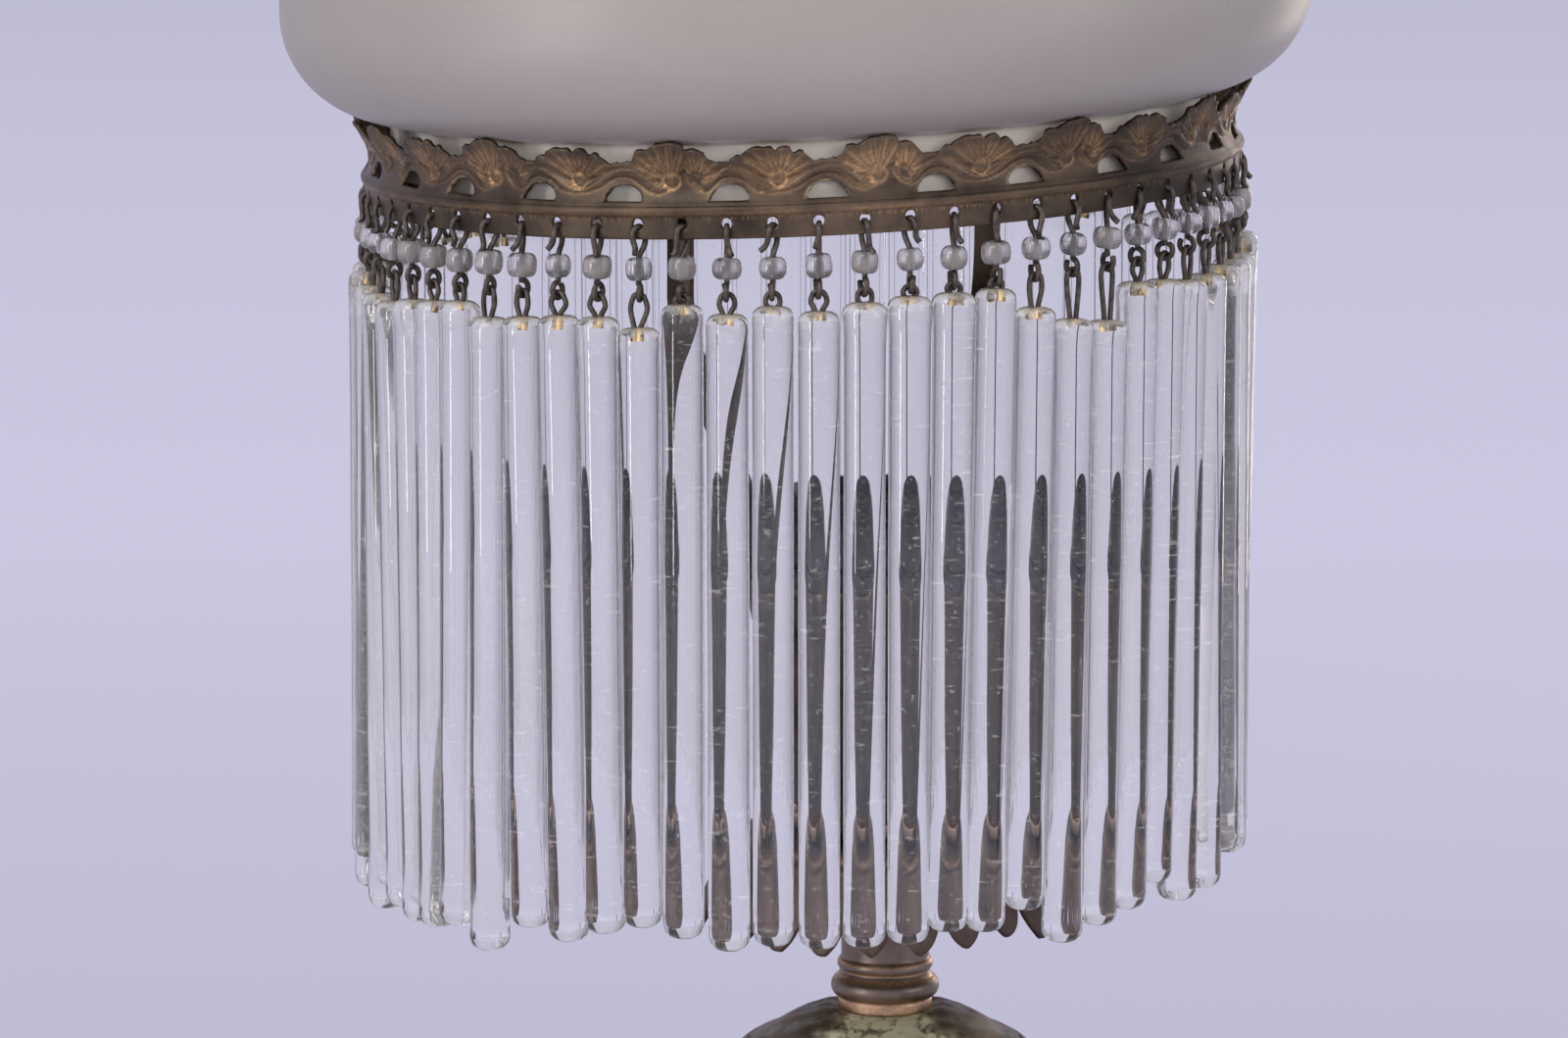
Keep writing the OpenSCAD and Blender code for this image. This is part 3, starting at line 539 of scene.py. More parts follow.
# Petal cup. A spun brass bell with stepped shoulders; its rim is pierced and filed into
# petals, each pressed a little hollow behind, and lacquered reddish brown.
cup_brass = aged_brass("cup_brass", (0.045, 0.030, 0.024), (0.085, 0.056, 0.044),
                       (0.26, 0.15, 0.09), None, 0.50, 0.6, 0.3)
petal_count = 24
petal_shift = math.radians(-5.3)
petal_pitch = 2 * math.pi / petal_count
petal_root_z = 141.2
petal_tip_z = 134
columns_per_petal = 14
bell_rows = 44
petal_rows = 15
cup_t = 1.1
cup_line = np.array([
    (bore, 149), (12, 149), (20.5, 149), (22.6, 148.95), (23.9, 148.6), (24.4, 148.0),
    (24.6, 147.4), (25.6, 147.1), (26.2, 146.7), (26.4, 145.9), (26.5, 145.2), (27, 144.5),
    (27.7, 143.2), (28.4, 141.5), (29.1, 139.6), (29.8, 137.8), (30.5, 135.8), (31, petal_tip_z)])
skirt_start = 6
cup_length = np.concatenate([[0], np.cumsum(np.linalg.norm(np.diff(cup_line, axis=0), axis=1))])


def along_cup(z):
    """How far along the cup's line a height on its skirt is."""
    return np.interp(-z, -cup_line[skirt_start:, 1], cup_length[skirt_start:])


petal_turn = np.linspace(0, 2 * math.pi, petal_count * columns_per_petal, endpoint=False)
in_petal = (petal_turn - petal_shift + petal_pitch / 2) % petal_pitch
across = np.abs(in_petal / (petal_pitch / 2) - 1)
petal_rise = 2.6 * across + 4.0 * across ** 3.5
petal_rise += 0.3 * np.sin(petal_turn * 5 + 1) + 2.3 * np.exp(-((petal_turn - 0.66) / 0.26) ** 2)
petal_root = along_cup(petal_root_z)
petal_length = along_cup(petal_tip_z + petal_rise) - petal_root
cup_at = np.concatenate([
    np.repeat(np.linspace(0, 1, bell_rows)[:, None] * petal_root, petal_turn.size, 1),
    petal_root + np.linspace(0, 1, petal_rows)[1:, None] * petal_length[None, :]])
cup_r = np.interp(cup_at, cup_length, cup_line[:, 0])
cup_z = np.interp(cup_at, cup_length, cup_line[:, 1])
on_petal = np.clip((144.5 - cup_z) / 6, 0, 1)
cup_r = cup_r + on_petal * (0.45 * np.cos(math.pi / 2 * across) - 0.15)[None, :]
cup_r -= on_petal * 0.18 * np.exp(-(across / 0.12) ** 2)[None, :]
cup_wear = on_petal * np.clip(across - 0.75, 0, 1)[None, :] * 1.5
cup_wear = cup_wear + np.exp(-((cup_z - 148.2) / 0.5) ** 2) * 0.5
cup = grid_mesh("petal_bell", round_axis(petal_turn, cup_r, cup_z), False, True, {"wear": cup_wear})


def apply_modifiers(piece):
    """Bakes a piece's modifiers into its mesh."""
    depsgraph = bpy.context.evaluated_depsgraph_get()
    mesh = bpy.data.meshes.new_from_object(piece.evaluated_get(depsgraph))
    piece.modifiers.clear()
    piece.data = mesh


def give_wall(piece, thickness):
    """Turns a sheet's faces away from the axis and gives it its thickness inwards."""
    work = bmesh.new()
    work.from_mesh(piece.data)
    work.normal_update()
    lean = 0.0
    for face in work.faces:
        middle = face.calc_center_median()
        lean += face.normal.dot(Vector((middle.x, middle.y, 0)))
    if lean < 0:
        bmesh.ops.reverse_faces(work, faces=work.faces)
    for face in work.faces:
        face.smooth = True
    work.to_mesh(piece.data)
    work.free()
    wall = piece.modifiers.new("wall", "SOLIDIFY")
    wall.thickness = thickness * mm
    wall.offset = -1.0
    apply_modifiers(piece)


give_wall(cup, cup_t)
place(cup, "stand", cup_brass, "brown_brass", "petal_cup")

# Harp. Two flat brass straps, bent cold, riveted under the gallery's ledge and under a
# round plate on the cup. Their long edges are filed round.
strap_brass = aged_brass("strap_brass", (0.040, 0.028, 0.020), (0.085, 0.060, 0.042),
                         (0.26, 0.17, 0.10), None, 0.42, 0.9, 0.4)


def from_cad(node, name, edge_mm):
    """A merged copy of a CAD node with its edges rounded."""
    piece = add_object(name, nodes[node].data.copy())
    work = bmesh.new()
    work.from_mesh(piece.data)
    bmesh.ops.remove_doubles(work, verts=work.verts, dist=0.005 * mm)
    bmesh.ops.dissolve_limit(work, angle_limit=math.radians(1), verts=work.verts, edges=work.edges)
    work.to_mesh(piece.data)
    work.free()
    rounding = piece.modifiers.new("edges", "BEVEL")
    rounding.width = edge_mm * mm
    rounding.segments = 3
    rounding.limit_method = "ANGLE"
    rounding.angle_limit = math.radians(32)
    apply_modifiers(piece)
    for face in piece.data.polygons:
        face.use_smooth = True
    return piece


for arm in ("arm_front", "arm_back"):
    strap = from_cad(arm, arm.replace("arm", "strap"), 0.3)
    place(strap, "stand", strap_brass, "brown_brass", arm)
plate_outline = [(bore, 149), (8.4, 149), (8.4, 150.2), (16, 150.2), (16, 152.5), (bore, 152.5)]
plate = turned("clamp_plate", soften(plate_outline, 0.35), 128, None, [(152.5, 0.3)])
place(plate, "stand", stem_brass, "brown_brass", "arm_plate")
dress("arm_rivets", turned_brass)

# Sleeve. A spun brass cone that carries the lampholder's flange; the spinning tool has
# left faint rings, and the lacquer has gone brown.
sleeve_brass = aged_brass("sleeve_brass", (0.034, 0.026, 0.021), (0.060, 0.047, 0.038),
                          (0.18, 0.13, 0.09), None, 0.48, 0.7, 0.3)
sleeve_outline = [
    (bore, 152.5), (15, 152.5), (15.8, 156), (17.4, 161), (19, 166), (20.3, 174), (21.5, 182),
    (22.7, 188), (23.5, 191.6), (22.3, 191.6), (21.5, 188.2), (20.3, 182.2), (19.1, 174.2),
    (17.8, 166.2), (16.2, 161.2), (14.6, 156.4), (13.8, 153.9), (bore, 153.9)]
sleeve = turned("sleeve_cone", soften(sleeve_outline, 2.0, 4), 128, None,
                [(153.2, 0.5), (191, 0.4)])
place(sleeve, "stand", sleeve_brass, "brown_brass", "holder_sleeve")

# Lampholder. Moulded black bakelite with a screwed ring, a porcelain block inside, and a
# rolled brass shell and contact for the bulb's screw cap. It is dusty with age.
bakelite, bakelite_tree, bakelite_surface = new_material("bakelite", (0.014, 0.015, 0.017), 0.38)
dust = noise(bakelite_tree, 620, 8, 0.72)
feed(bakelite_surface, "Base Color", mix_colour(
    bakelite_tree, ramp(bakelite_tree, dust, 0.50, 0.72),
    (0.013, 0.014, 0.017), (0.048, 0.049, 0.054)))
feed(bakelite_surface, "Specular IOR Level", 0.3)
feed(bakelite_surface, "Roughness", ramp(bakelite_tree, dust, 0.4, 0.7, 0.32, 0.7))
add_bump(bakelite_tree, bakelite_surface, dust, 0.3, 0.06)
barrel_outline = [
    (16.6, 178), (19.2, 178), (19.2, 191.6), (23.9, 191.6), (23.9, 194.9), (24.2, 195.3),
    (23.8, 197), (23, 198.4), (21.7, 201), (20.5, 202.4), (19.8, 202.6), (19.8, 202.9),
    (19.6, 203.2), (18, 204), (17, 204.4), (17, 204.7), (16.6, 205), (15.2, 205.3), (14.4, 205),
    (14.4, 202.6), (16.6, 201.4)]
barrel = turned("bakelite_barrel", soften(barrel_outline, 0.5), 160)
place(barrel, "stand", bakelite, "black_bakelite", "lampholder_body")


def knurl(turn, radius, height):
    """Fine upright ribs round the ring, for the fingers."""
    grip = (radius > 25.3) * 0.16 * np.cos(72 * turn)
    return grip, 0 * turn, 0 * turn


ring_outline = [
    (23.95, 191.6), (25.1, 191.6), (25.5, 192.1), (25.5, 194.2), (25.1, 194.7), (23.95, 194.7)]
screwed_ring = turned("bakelite_ring", divide(soften(ring_outline, 0.3), 0.5), 576, knurl)
place(screwed_ring, "stand", bakelite, "black_bakelite", "lampholder_ring")
dress("holder_cap", bakelite)
porcelain, porcelain_tree, porcelain_surface = new_material("porcelain", (0.66, 0.64, 0.56), 0.2)
feed(porcelain_surface, "Base Color", mix_colour(
    porcelain_tree, noise(porcelain_tree, 300, 4), (0.58, 0.55, 0.46), (0.72, 0.70, 0.63)))
feed(porcelain_surface, "Coat Weight", 0.4)
dress("lampholder_insert", porcelain)
for contact in ("terminal_screws", "centre_contact"):
    dress(contact, turned_brass)
thread_pitch = 3.6
thread_length = 18
thread_depth = 0.35
thread_steps = 60
thread = [(z, thread_depth * math.cos(2 * math.pi * z / thread_pitch))
          for z in (thread_length * i / thread_steps for i in range(thread_steps + 1))]
shell_outline = (
    [(8.6, 184), (13.7, 184)]
    + [(13.75 + wave, 184.4 + z) for z, wave in thread]
    + [(13.60 + wave, 184.5 + z) for z, wave in reversed(thread)]
    + [(8.6, 184.5)])
shell = turned("thread_shell", shell_outline, 96)
dull_brass = metal_finish("dull_brass", (0.05, 0.035, 0.02), (0.13, 0.09, 0.045), 0.5, 0.9)
place(shell, "stand", dull_brass, "bright_brass", "lampholder_shell")

# Gallery. A pressed brass strip, bent into a ring and soldered: a plain lower edge with
# the row of hook holes, a rounded rib, a row of half-round piercings, and a crest where
# small fans and wide twin shells stand side by side, joined by a ribbon.
gallery_shift = 13.6
gallery_z = 257.25
front_dip = math.radians(1.9)
left_dip = math.radians(2.33)
gallery = (Matrix.Translation(Vector((-gallery_shift, 0, gallery_z)) * mm)
           @ Matrix.Rotation(-left_dip, 4, "Y") @ Matrix.Rotation(front_dip, 4, "X"))
gallery_brass = aged_brass("gallery_brass", (0.045, 0.033, 0.023), (0.106, 0.075, 0.049),
                           (0.43, 0.26, 0.125), (0.30, 0.26, 0.13), 0.42, 0.80, 0.5)
gallery_tree = gallery_brass.node_tree
gallery_surface = gallery_tree.nodes["Principled BSDF"]
file_marks = ramp(gallery_tree, noise(gallery_tree, 2400, 3, 0.6, (1, 1, 0.06)),
                  0.48, 0.62, 0.0, 0.8)
gallery_colour = mix_colour(
    gallery_tree, maths(gallery_tree, "MULTIPLY", layer(gallery_tree, "filed"), file_marks),
    gallery_surface.inputs["Base Color"].links[0].from_socket, (0.24, 0.15, 0.08))
# Brightness of the band by its turn: rubbing, plus painted light and shade at the front.
gallery_tone = add_node(gallery_tree, "ShaderNodeHueSaturation", {
    "Color": gallery_colour,
    "Value": ramp(gallery_tree, layer(gallery_tree, "rubbed_and_lit"), 0, 1, 0.5, 2.3)})
feed(gallery_surface, "Base Color", gallery_tone.outputs[0])
hole_circle_r = 70.0
rod_count = 64
first_turn = math.radians(1.72)
rod_pitch = 2 * math.pi / rod_count
crest_pairs = 14
first_fan = math.radians(-3.1)
fan_pitch = 2 * math.pi / crest_pairs
hole_r = 0.85
opening_at = math.radians(6.03)
opening_half = 3.15
opening_base = 3.4
opening_rise = 2.4
half_period = fan_pitch * hole_circle_r / 2
crest_foot = 2.5
crest_columns = 120
crest_rows = 28
hook_columns = 84
crest_outline = np.array([
    (-15.8, 12.35), (-14.6, 12.4), (-13.8, 12.0), (-13.2, 11.0), (-12.2, 11.25), (-11.3, 11.0),
    (-10.2, 9.8), (-9.5, 9.1), (-8.8, 9.3), (-7.9, 9.15), (-7.3, 8.95), (-6.8, 9.8), (-6.1, 10.2),
    (-5.5, 10.15), (-5.2, 9.9), (-4.9, 10.5), (-4.3, 11.0), (-3.6, 11.2), (-2.0, 11.3),
    (-0.8, 11.2), (-0.25, 10.9), (0.0, 10.55), (0.3, 11.0), (0.8, 11.3), (1.4, 11.35),
    (2.0, 11.1), (2.6, 10.35),
    (2.8, 10.1), (3.3, 10.45), (3.9, 10.5), (4.5, 10.0), (5.1, 9.3), (5.5, 8.95), (6.1, 9.2),
    (6.8, 9.35), (7.3, 9.1), (7.9, 9.2), (8.4, 9.45), (9.0, 9.2), (9.5, 9.7), (10.2, 10.9),
    (11.2, 11.25), (11.8, 11.2), (12.1, 11.0), (12.5, 11.5), (13.4, 12.0), (14.9, 12.3),
    (15.8, 12.35)])
ribbon_top = np.array([
    (-11.2, 6.4), (-9.7, 6.95), (-8.5, 8.2), (-7.2, 8.6), (-5.7, 8.15), (-4.1, 7.1), (-2.1, 6.0),
    (-0.9, 5.45), (0.9, 5.5), (3.0, 6.6), (5.5, 8.0), (7.5, 8.55), (9.4, 8.4), (11.2, 7.2),
    (12.6, 6.1), (13.9, 5.6)])
ribbon_foot = np.array([
    (-11.3, 4.8), (-10.3, 5.1), (-9.5, 6.0), (-8.6, 6.7), (-7.2, 7.0), (-5.7, 6.7), (-4.65, 6.05),
    (-3.4, 4.95), (-1.1, 4.5), (1.1, 4.65), (3.2, 5.3), (4.8, 6.3), (6.2, 6.95), (7.4, 7.1),
    (8.8, 6.9), (10.2, 5.9), (11.4, 4.9), (12.9, 4.55), (14.3, 4.95)])
curl = np.array([
    (-11.3, 4.8), (-12.5, 5.3), (-13.3, 6.1), (-13.7, 7.0), (-13.2, 7.7), (-12.5, 7.75),
    (-12.0, 7.2)])
curl_eye = (-12.4, 6.6)
curl_eye_r = 1.15
fan_from, fan_to = -6.7, 5.4
twin_from, twin_to = 2.0, 9.0
ribbon_from, ribbon_to = -11.3, 14.2
fan_boss = (0.0, 6.5)
shell_boss = (-0.6, 6.45)
twin_heart = (3.3, 6.7)
boss_r = 1.1
fan_rays = np.radians([10, 30, 47, 66, 84, 103, 124, 144, 168])
shell_rays = np.radians([36, 64, 84, 103, 121, 138, 154, 176])
twin_rays = np.radians([-16, 16, 42, 68, 94, 122, 152])
crest_skin = np.array([
    (crest_foot, 70.64), (2.8, 70.45), (3.4, 70.0), (4.2, 69.6), (5.2, 69.3), (6.3, 69.25),
    (7.6, 69.65), (10.05, 70.9), (11.7, 72.1), (12.5, 72.6)])


def strip_grid(columns_per_pair, heights):
    """Turn, distance from the nearest fan and height of every point of a strip."""
    count = crest_pairs * columns_per_pair
    turn = np.linspace(0, 2 * math.pi, count, endpoint=False) + first_fan - fan_pitch / 2
    u = (np.arange(count) % columns_per_pair / columns_per_pair - 0.5) * 2 * half_period
    rows = (len(heights), 1)
    return np.tile(turn, rows), np.tile(u, rows), heights + 0 * turn[None, :]


def line_distance(u, z, line):
    """Distance of every point from a line of (u, z) points."""
    nearest = np.full(u.shape, 99.0)
    for (u0, z0), (u1, z1) in zip(line[:-1], line[1:]):
        du, dz = u1 - u0, z1 - z0
        along = np.clip(((u - u0) * du + (z - z0) * dz) / (du ** 2 + dz ** 2), 0, 1)
        nearest = np.minimum(nearest, np.hypot(u - u0 - along * du, z - z0 - along * dz))
    return nearest


def petals(u, z, centre, rays):
    """Rounded petals between rays from a centre, and the distance from the nearest ray."""
    angle = np.arctan2(z - centre[1], u - centre[0])
    distance = np.hypot(u - centre[0], z - centre[1])
    k = np.clip(np.searchsorted(rays, angle.ravel()).reshape(angle.shape), 1, len(rays) - 1)
    low, high = rays[k - 1], rays[k]
    share = np.clip(np.minimum(angle - low, high - angle) / (high - low) * 2, 0, 1)
    return share ** 0.6, share * (high - low) / 2 * distance


def round_boss(u, z, centre):
    """A flat round boss inside a cut ring."""
    distance = np.hypot(u - centre[0], z - centre[1])
    ring = np.exp(-((distance - boss_r) / 0.18) ** 2)
    return distance, 0.30 * (distance < boss_r - 0.12) - 0.18 * ring


_, outline_u, _ = strip_grid(crest_columns, np.zeros((1, 1)))
crest_top = np.interp(outline_u, crest_outline[:, 0], crest_outline[:, 1])
crest_z = crest_foot + np.linspace(0, 1, crest_rows)[:, None] * (crest_top - crest_foot)
crest_turn, crest_u, crest_z = strip_grid(crest_columns, crest_z)
from_shell = np.where(crest_u > 0, crest_u - half_period, crest_u + half_period)
in_fan = (crest_u > fan_from) & (crest_u < fan_to)
in_twin = (from_shell > twin_from) & (from_shell < twin_to)
fan_form, fan_cut = petals(crest_u, crest_z, fan_boss, fan_rays)
shell_form, shell_cut = petals(from_shell, crest_z, shell_boss, shell_rays)
twin_form, twin_cut = petals(from_shell, crest_z, twin_heart, twin_rays)
form = np.where(in_fan, fan_form, np.where(in_twin, twin_form, shell_form))
cut = np.where(in_fan, fan_cut, np.where(in_twin, twin_cut, shell_cut))
top_line = np.interp(crest_u, ribbon_top[:, 0], ribbon_top[:, 1])
foot_line = np.interp(crest_u, ribbon_foot[:, 0], ribbon_foot[:, 1])
to_rim = crest_top - crest_z
left_of_ribbon = crest_u < ribbon_top[0, 0]
right_of_ribbon = crest_u > ribbon_top[-1, 0]
in_curl = np.hypot(crest_u - curl_eye[0], crest_z - curl_eye[1]) < curl_eye_r
above = (crest_z > top_line) | left_of_ribbon & (crest_z > 5.6) | right_of_ribbon & (crest_z > 5.2)
above = above & ~(left_of_ribbon & in_curl)
in_ribbon = (crest_z < top_line) & (crest_z > foot_line)
in_ribbon = in_ribbon & (crest_u > ribbon_from) & (crest_u < ribbon_to)
ribbon_share = np.clip((crest_z - foot_line) / np.maximum(top_line - foot_line, 0.1), 0, 1)
relief = np.where(above, 0.42 * form * np.clip((to_rim + 0.25) / 0.8, 0.3, 1), 0)
ribbon_round = np.sqrt(np.clip(1 - (2 * ribbon_share - 1) ** 2, 0, 1))
relief = np.where(in_ribbon, 0.34 * ribbon_round + 0.05, relief)
to_lines = np.minimum.reduce([
    line_distance(crest_u, crest_z, line) for line in (ribbon_top, ribbon_foot, curl)])
relief -= 0.16 * np.exp(-(to_lines / 0.2) ** 2)
fan_distance, fan_disc = round_boss(crest_u, crest_z, fan_boss)
shell_distance, shell_disc = round_boss(from_shell, crest_z, shell_boss)
relief = np.where(fan_distance < boss_r + 0.3, fan_disc, relief)
relief = np.where(shell_distance < boss_r + 0.3, shell_disc, relief)
to_boss = np.minimum(np.abs(fan_distance - boss_r - 0.22), np.abs(shell_distance - boss_r - 0.22))
from_opening = np.abs(crest_u) - opening_at * hole_circle_r
opening_edge = np.hypot(from_opening / opening_half, (crest_z - opening_base) / opening_rise) - 1
opening_edge = np.abs(opening_edge) * 2.7
opening_rim = np.exp(-(opening_edge / 0.3) ** 2) * (crest_z > opening_base - 0.1)
crest_wear = np.where(above, 0.85 * np.exp(-((cut - 0.3) / 0.2) ** 2) + 0.12 * form, 0)
crest_wear += 0.45 * np.exp(-((to_lines - 0.3) / 0.2) ** 2) + 0.85 * np.exp(-(to_boss / 0.24) ** 2)
crest_wear += 0.2 * (np.minimum(fan_distance, shell_distance) < boss_r)
crest_wear *= np.clip(to_rim / 1.8, 0.1, 1)
stains = random.Random(5)
patches = [stains.uniform(0.25, 1.1) for _ in range(crest_pairs * 9)]
patches.append(patches[0])


def patchy(turn):
    """How far the wear has gone at a turn: it comes and goes round the ring."""
    all_round = np.linspace(0, 2 * math.pi, len(patches))
    return np.interp(turn - first_fan + fan_pitch / 2, all_round, patches)


crest_wear *= patchy(crest_turn)
stain_of = np.array([stains.choice((0, 0, 0.15, 0.7)) for _ in range(crest_pairs * 2)])
opening_index = (np.arange(crest_turn.shape[1]) // (crest_columns // 2))[None, :]
stained_side = np.clip(-from_opening * np.sign(crest_u) + 1.0, 0, 1)
crest_hollow = opening_rim * stain_of[opening_index] * stained_side
crest_r = np.interp(crest_z, crest_skin[:, 0], crest_skin[:, 1]) + relief

hook_rows = np.array([
    -2.3, -2.15, -1.7, -1.25, -0.85, -0.45, 0, 0.45, 0.85, 1.05, 1.2, 1.35, 1.5, 1.65, 1.8, 1.95,
    2.1, 2.25, 2.4, 2.6, 2.8, 3.1])
rib_skin = np.array([
    (-2.3, 70.3), (-2.15, 70.4), (0.85, 70.4), (1.05, 70.48), (1.3, 70.68), (1.5, 70.80),
    (1.8, 70.88), (2.0, 70.90), (2.2, 70.87), (2.4, 70.78), (2.6, 70.62), (2.8, 70.42),
    (3.1, 70.05)])
hook_turn, _, hook_z = strip_grid(hook_columns, hook_rows[:, None])
hook_r = np.interp(hook_z, rib_skin[:, 0], rib_skin[:, 1])
hook_wear = 0.40 * np.exp(-((hook_z - 1.6) / 0.5) ** 2)
hook_wear += 0.15 * np.exp(-((hook_z + 2.2) / 0.15) ** 2)
hook_wear *= patchy(hook_turn)
hook_filed = np.exp(-((hook_z - 0.95) / 0.4) ** 2)


def rubbed_and_lit_at(turn):
    """How much brighter a stretch of the band is painted: uneven rubbing round the ring, with
    painted shade just left of the front and a painted highlight just right of it.
    """
    turns = [-180, -150, -100, -60, -27, -8, 8, 22, 43, 75, 120, 150, 180]
    wear_and_highlight_bands = [0.3, 0.15, 0.3, 0.12, 0.02, 0.28, 0.62, 0.42, 0.1, 0.2, 0.35, 0.15, 0.3]
    return np.interp(turn, np.radians(turns), wear_and_highlight_bands)


def opening_reach(du, z):
    """How far out a point is from the middle of a half-round opening, whose edge is at 1."""
    return math.hypot(du / opening_half, (z - opening_base) / opening_rise)


def cut_openings(piece, turn_of, height_of):
    """Takes out the faces inside each opening and draws the cut edge onto its true outline."""
    work = bmesh.new()
    work.from_mesh(piece.data)
    work.verts.ensure_lookup_table()
    hole_of = {}
    doomed = []
    for face in work.faces:
        turns = [turn_of[v.index] for v in face.verts]
        if max(turns) - min(turns) > 1:
            continue
        turn = sum(turns) / 4
        z = sum(height_of[v.index] for v in face.verts) / 4
        k = round((turn - first_turn) / rod_pitch)
        du = (turn - first_turn - k * rod_pitch) * hole_circle_r
        if math.hypot(du, z) < hole_r * 0.93:
            doomed.append(face)
            for v in face.verts:
                hole_of[v] = ("round", first_turn + k * rod_pitch)
            continue
        period = round((turn - first_fan) / fan_pitch)
        fan_turn = first_fan + period * fan_pitch
        side = 1 if turn > fan_turn else -1
        centre = fan_turn + side * opening_at
        du = (turn - centre) * hole_circle_r
        if z > opening_base and opening_reach(du, z) < 0.97:
            doomed.append(face)
            for v in face.verts:
                hole_of[v] = ("half", centre)
    bmesh.ops.delete(work, geom=doomed, context="FACES_ONLY")
    for v, (kind, centre) in hole_of.items():
        if not v.is_valid or not v.link_faces:
            continue
        r = math.hypot(v.co.x, v.co.y)
        du = (turn_of[v.index] - centre) * hole_circle_r
        z = height_of[v.index]
        if kind == "round":
            scale = hole_r / max(math.hypot(du, z), 0.05)
            du, z = du * scale, z * scale
        elif z < opening_base + 0.25:
            z = opening_base
            du = max(-opening_half, min(opening_half, du))
        else:
            scale = 1 / max(opening_reach(du, z), 0.05)
            du, z = du * scale, opening_base + (z - opening_base) * scale
        turn = centre + du / hole_circle_r
        v.co = Vector((r * math.sin(turn), -r * math.cos(turn), z * mm))
    loose = [v for v in work.verts if not v.link_faces]
    bmesh.ops.delete(work, geom=loose, context="VERTS")
    work.to_mesh(piece.data)
    work.free()


strip_t = 0.7
for name, turn, z, r, layers in (
        ("pierced_crest", crest_turn, crest_z, crest_r, {
            "wear": crest_wear, "hollow": crest_hollow, "filed": 0.0,
            "rubbed_and_lit": rubbed_and_lit_at(crest_turn) + 0.12}),
        ("hook_strip", hook_turn, hook_z, hook_r, {
            "wear": hook_wear, "hollow": 0.0, "filed": hook_filed,
            "rubbed_and_lit": rubbed_and_lit_at(hook_turn) * 1.15 - 0.06})):
    strip = grid_mesh(name, round_axis(turn, r, z), False, True, layers)
    cut_openings(strip, turn.ravel(), z.ravel())
    give_wall(strip, strip_t)
    strip.data.transform(gallery)
    place(strip, "stand", gallery_brass, "gallery_brass", "gallery_band")

# Ledge. A flat brass ring soldered inside the strip at the height of the rib. The
# shade's lip stands on it.
ledge_outline = [(60, 1.4), (68.2, 1.4), (68.2, 2.2), (60, 2.2)]
ledge = turned("shade_ledge", soften(ledge_outline, 0.15), 192, matrix=gallery)
place(ledge, "stand", gallery_brass, "gallery_brass", "shade_seat_ring")

# Shade. Mould-blown glass with an acid-etched satin skin, greyish cream with dark specks;
# its lip is painted pale cream, painted light for the glow the glass carries through from
# inside. A straight lip, a round bulge and a domed crown. It lifts straight out.
shade_r = 82.4
crown_z = 90.0
glass_t = 2.8
lip_r = 65.8
lip_z = 2.2
bulge_r = 16.4
bulge_z = 28.0
bulge_centre = shade_r - bulge_r
crown_rise = crown_z - bulge_z
shade_outline = (
    [(lip_r - glass_t, lip_z + 0.6), (lip_r - glass_t + 0.6, lip_z), (lip_r - 0.6, lip_z),
     (lip_r, lip_z + 0.6), (lip_r, 5.9), (lip_r, 9.7), (lip_r + 0.2, 10.6), (lip_r + 0.8, 11.4)]
    + arc_points(bulge_centre, bulge_z, bulge_r, bulge_r, -85, 0, 24)[1:]
    + arc_points(0, bulge_z, shade_r, crown_rise, 0, 90, 44)[1:]
    + arc_points(0, bulge_z, shade_r - glass_t, crown_rise - glass_t, 90, 0, 44)[1:]
    + arc_points(bulge_centre, bulge_z, bulge_r - glass_t, bulge_r - glass_t, 0, -78, 24)[1:]
    + [(lip_r - glass_t + 1.4, 13.6), (lip_r - glass_t + 0.3, 12.4), (lip_r - glass_t, 11.2)])


def shade_height(turn, radius, height):
    """No relief: the third layer carries how far up the shade a point is, for its finish."""
    return 0 * turn, 0 * turn, height / crown_z


shade = turned("satin_shade", shade_outline, 256, shade_height, matrix=gallery)
satin, satin_tree, satin_surface = new_material("satin_glass", (0.36, 0.325, 0.30), 0.42)
up_the_shade = layer(satin_tree, "hollow")
satin_speck = noise(satin_tree, 900, 5, 0.6)
satin_body = mix_colour(satin_tree, noise(satin_tree, 28, 5, 0.6),
                        (0.278, 0.245, 0.226), (0.350, 0.311, 0.288))
satin_body = mix_colour(satin_tree, ramp(satin_tree, satin_speck, 0.60, 0.78, 0, 0.35),
                        satin_body, (0.22, 0.19, 0.18))
# The lip below the bulge is painted pale cream: painted light standing for the glow through the
# glass.
lip_painted_light = ramp(satin_tree, up_the_shade, 0.126, 0.140, 1.0, 0.0)
feed(satin_surface, "Base Color",
     mix_colour(satin_tree, lip_painted_light, satin_body, (0.95, 0.84, 0.775)))
feed(satin_surface, "Subsurface Weight", ramp(satin_tree, up_the_shade, 0.15, 0.19, 1.0, 0.15))
feed(satin_surface, "Subsurface Radius", (0.006, 0.006, 0.006))
feed(satin_surface, "Coat Weight", 0.12)
feed(satin_surface, "Coat Roughness", 0.35)
add_bump(satin_tree, satin_surface, satin_speck, 0.12, 0.04)
place(shade, "shade", satin, "satin_glass", "glass_shade")

# Hooks. Each is one length of dark iron wire, bent by hand: up through its hole and
# back under the strip, down through the bead, and round into an open eye.
half_wire = 0.45
wire_sides = 10
bead_drop = 6.8
eye_r = 1.2
eye_drop = 10.2
eye_steps = 12
pivot_drop = 10.25


def rod_turn(k):
    """How far round from the front hole k is."""
    return first_turn + rod_pitch * k


def hole_place(k):
    """The middle of hole k, in mm."""
    turn = rod_turn(k)
    in_strip = Vector((hole_circle_r * math.sin(turn), -hole_circle_r * math.cos(turn), 0))
    return (gallery @ (in_strip * mm)) / mm


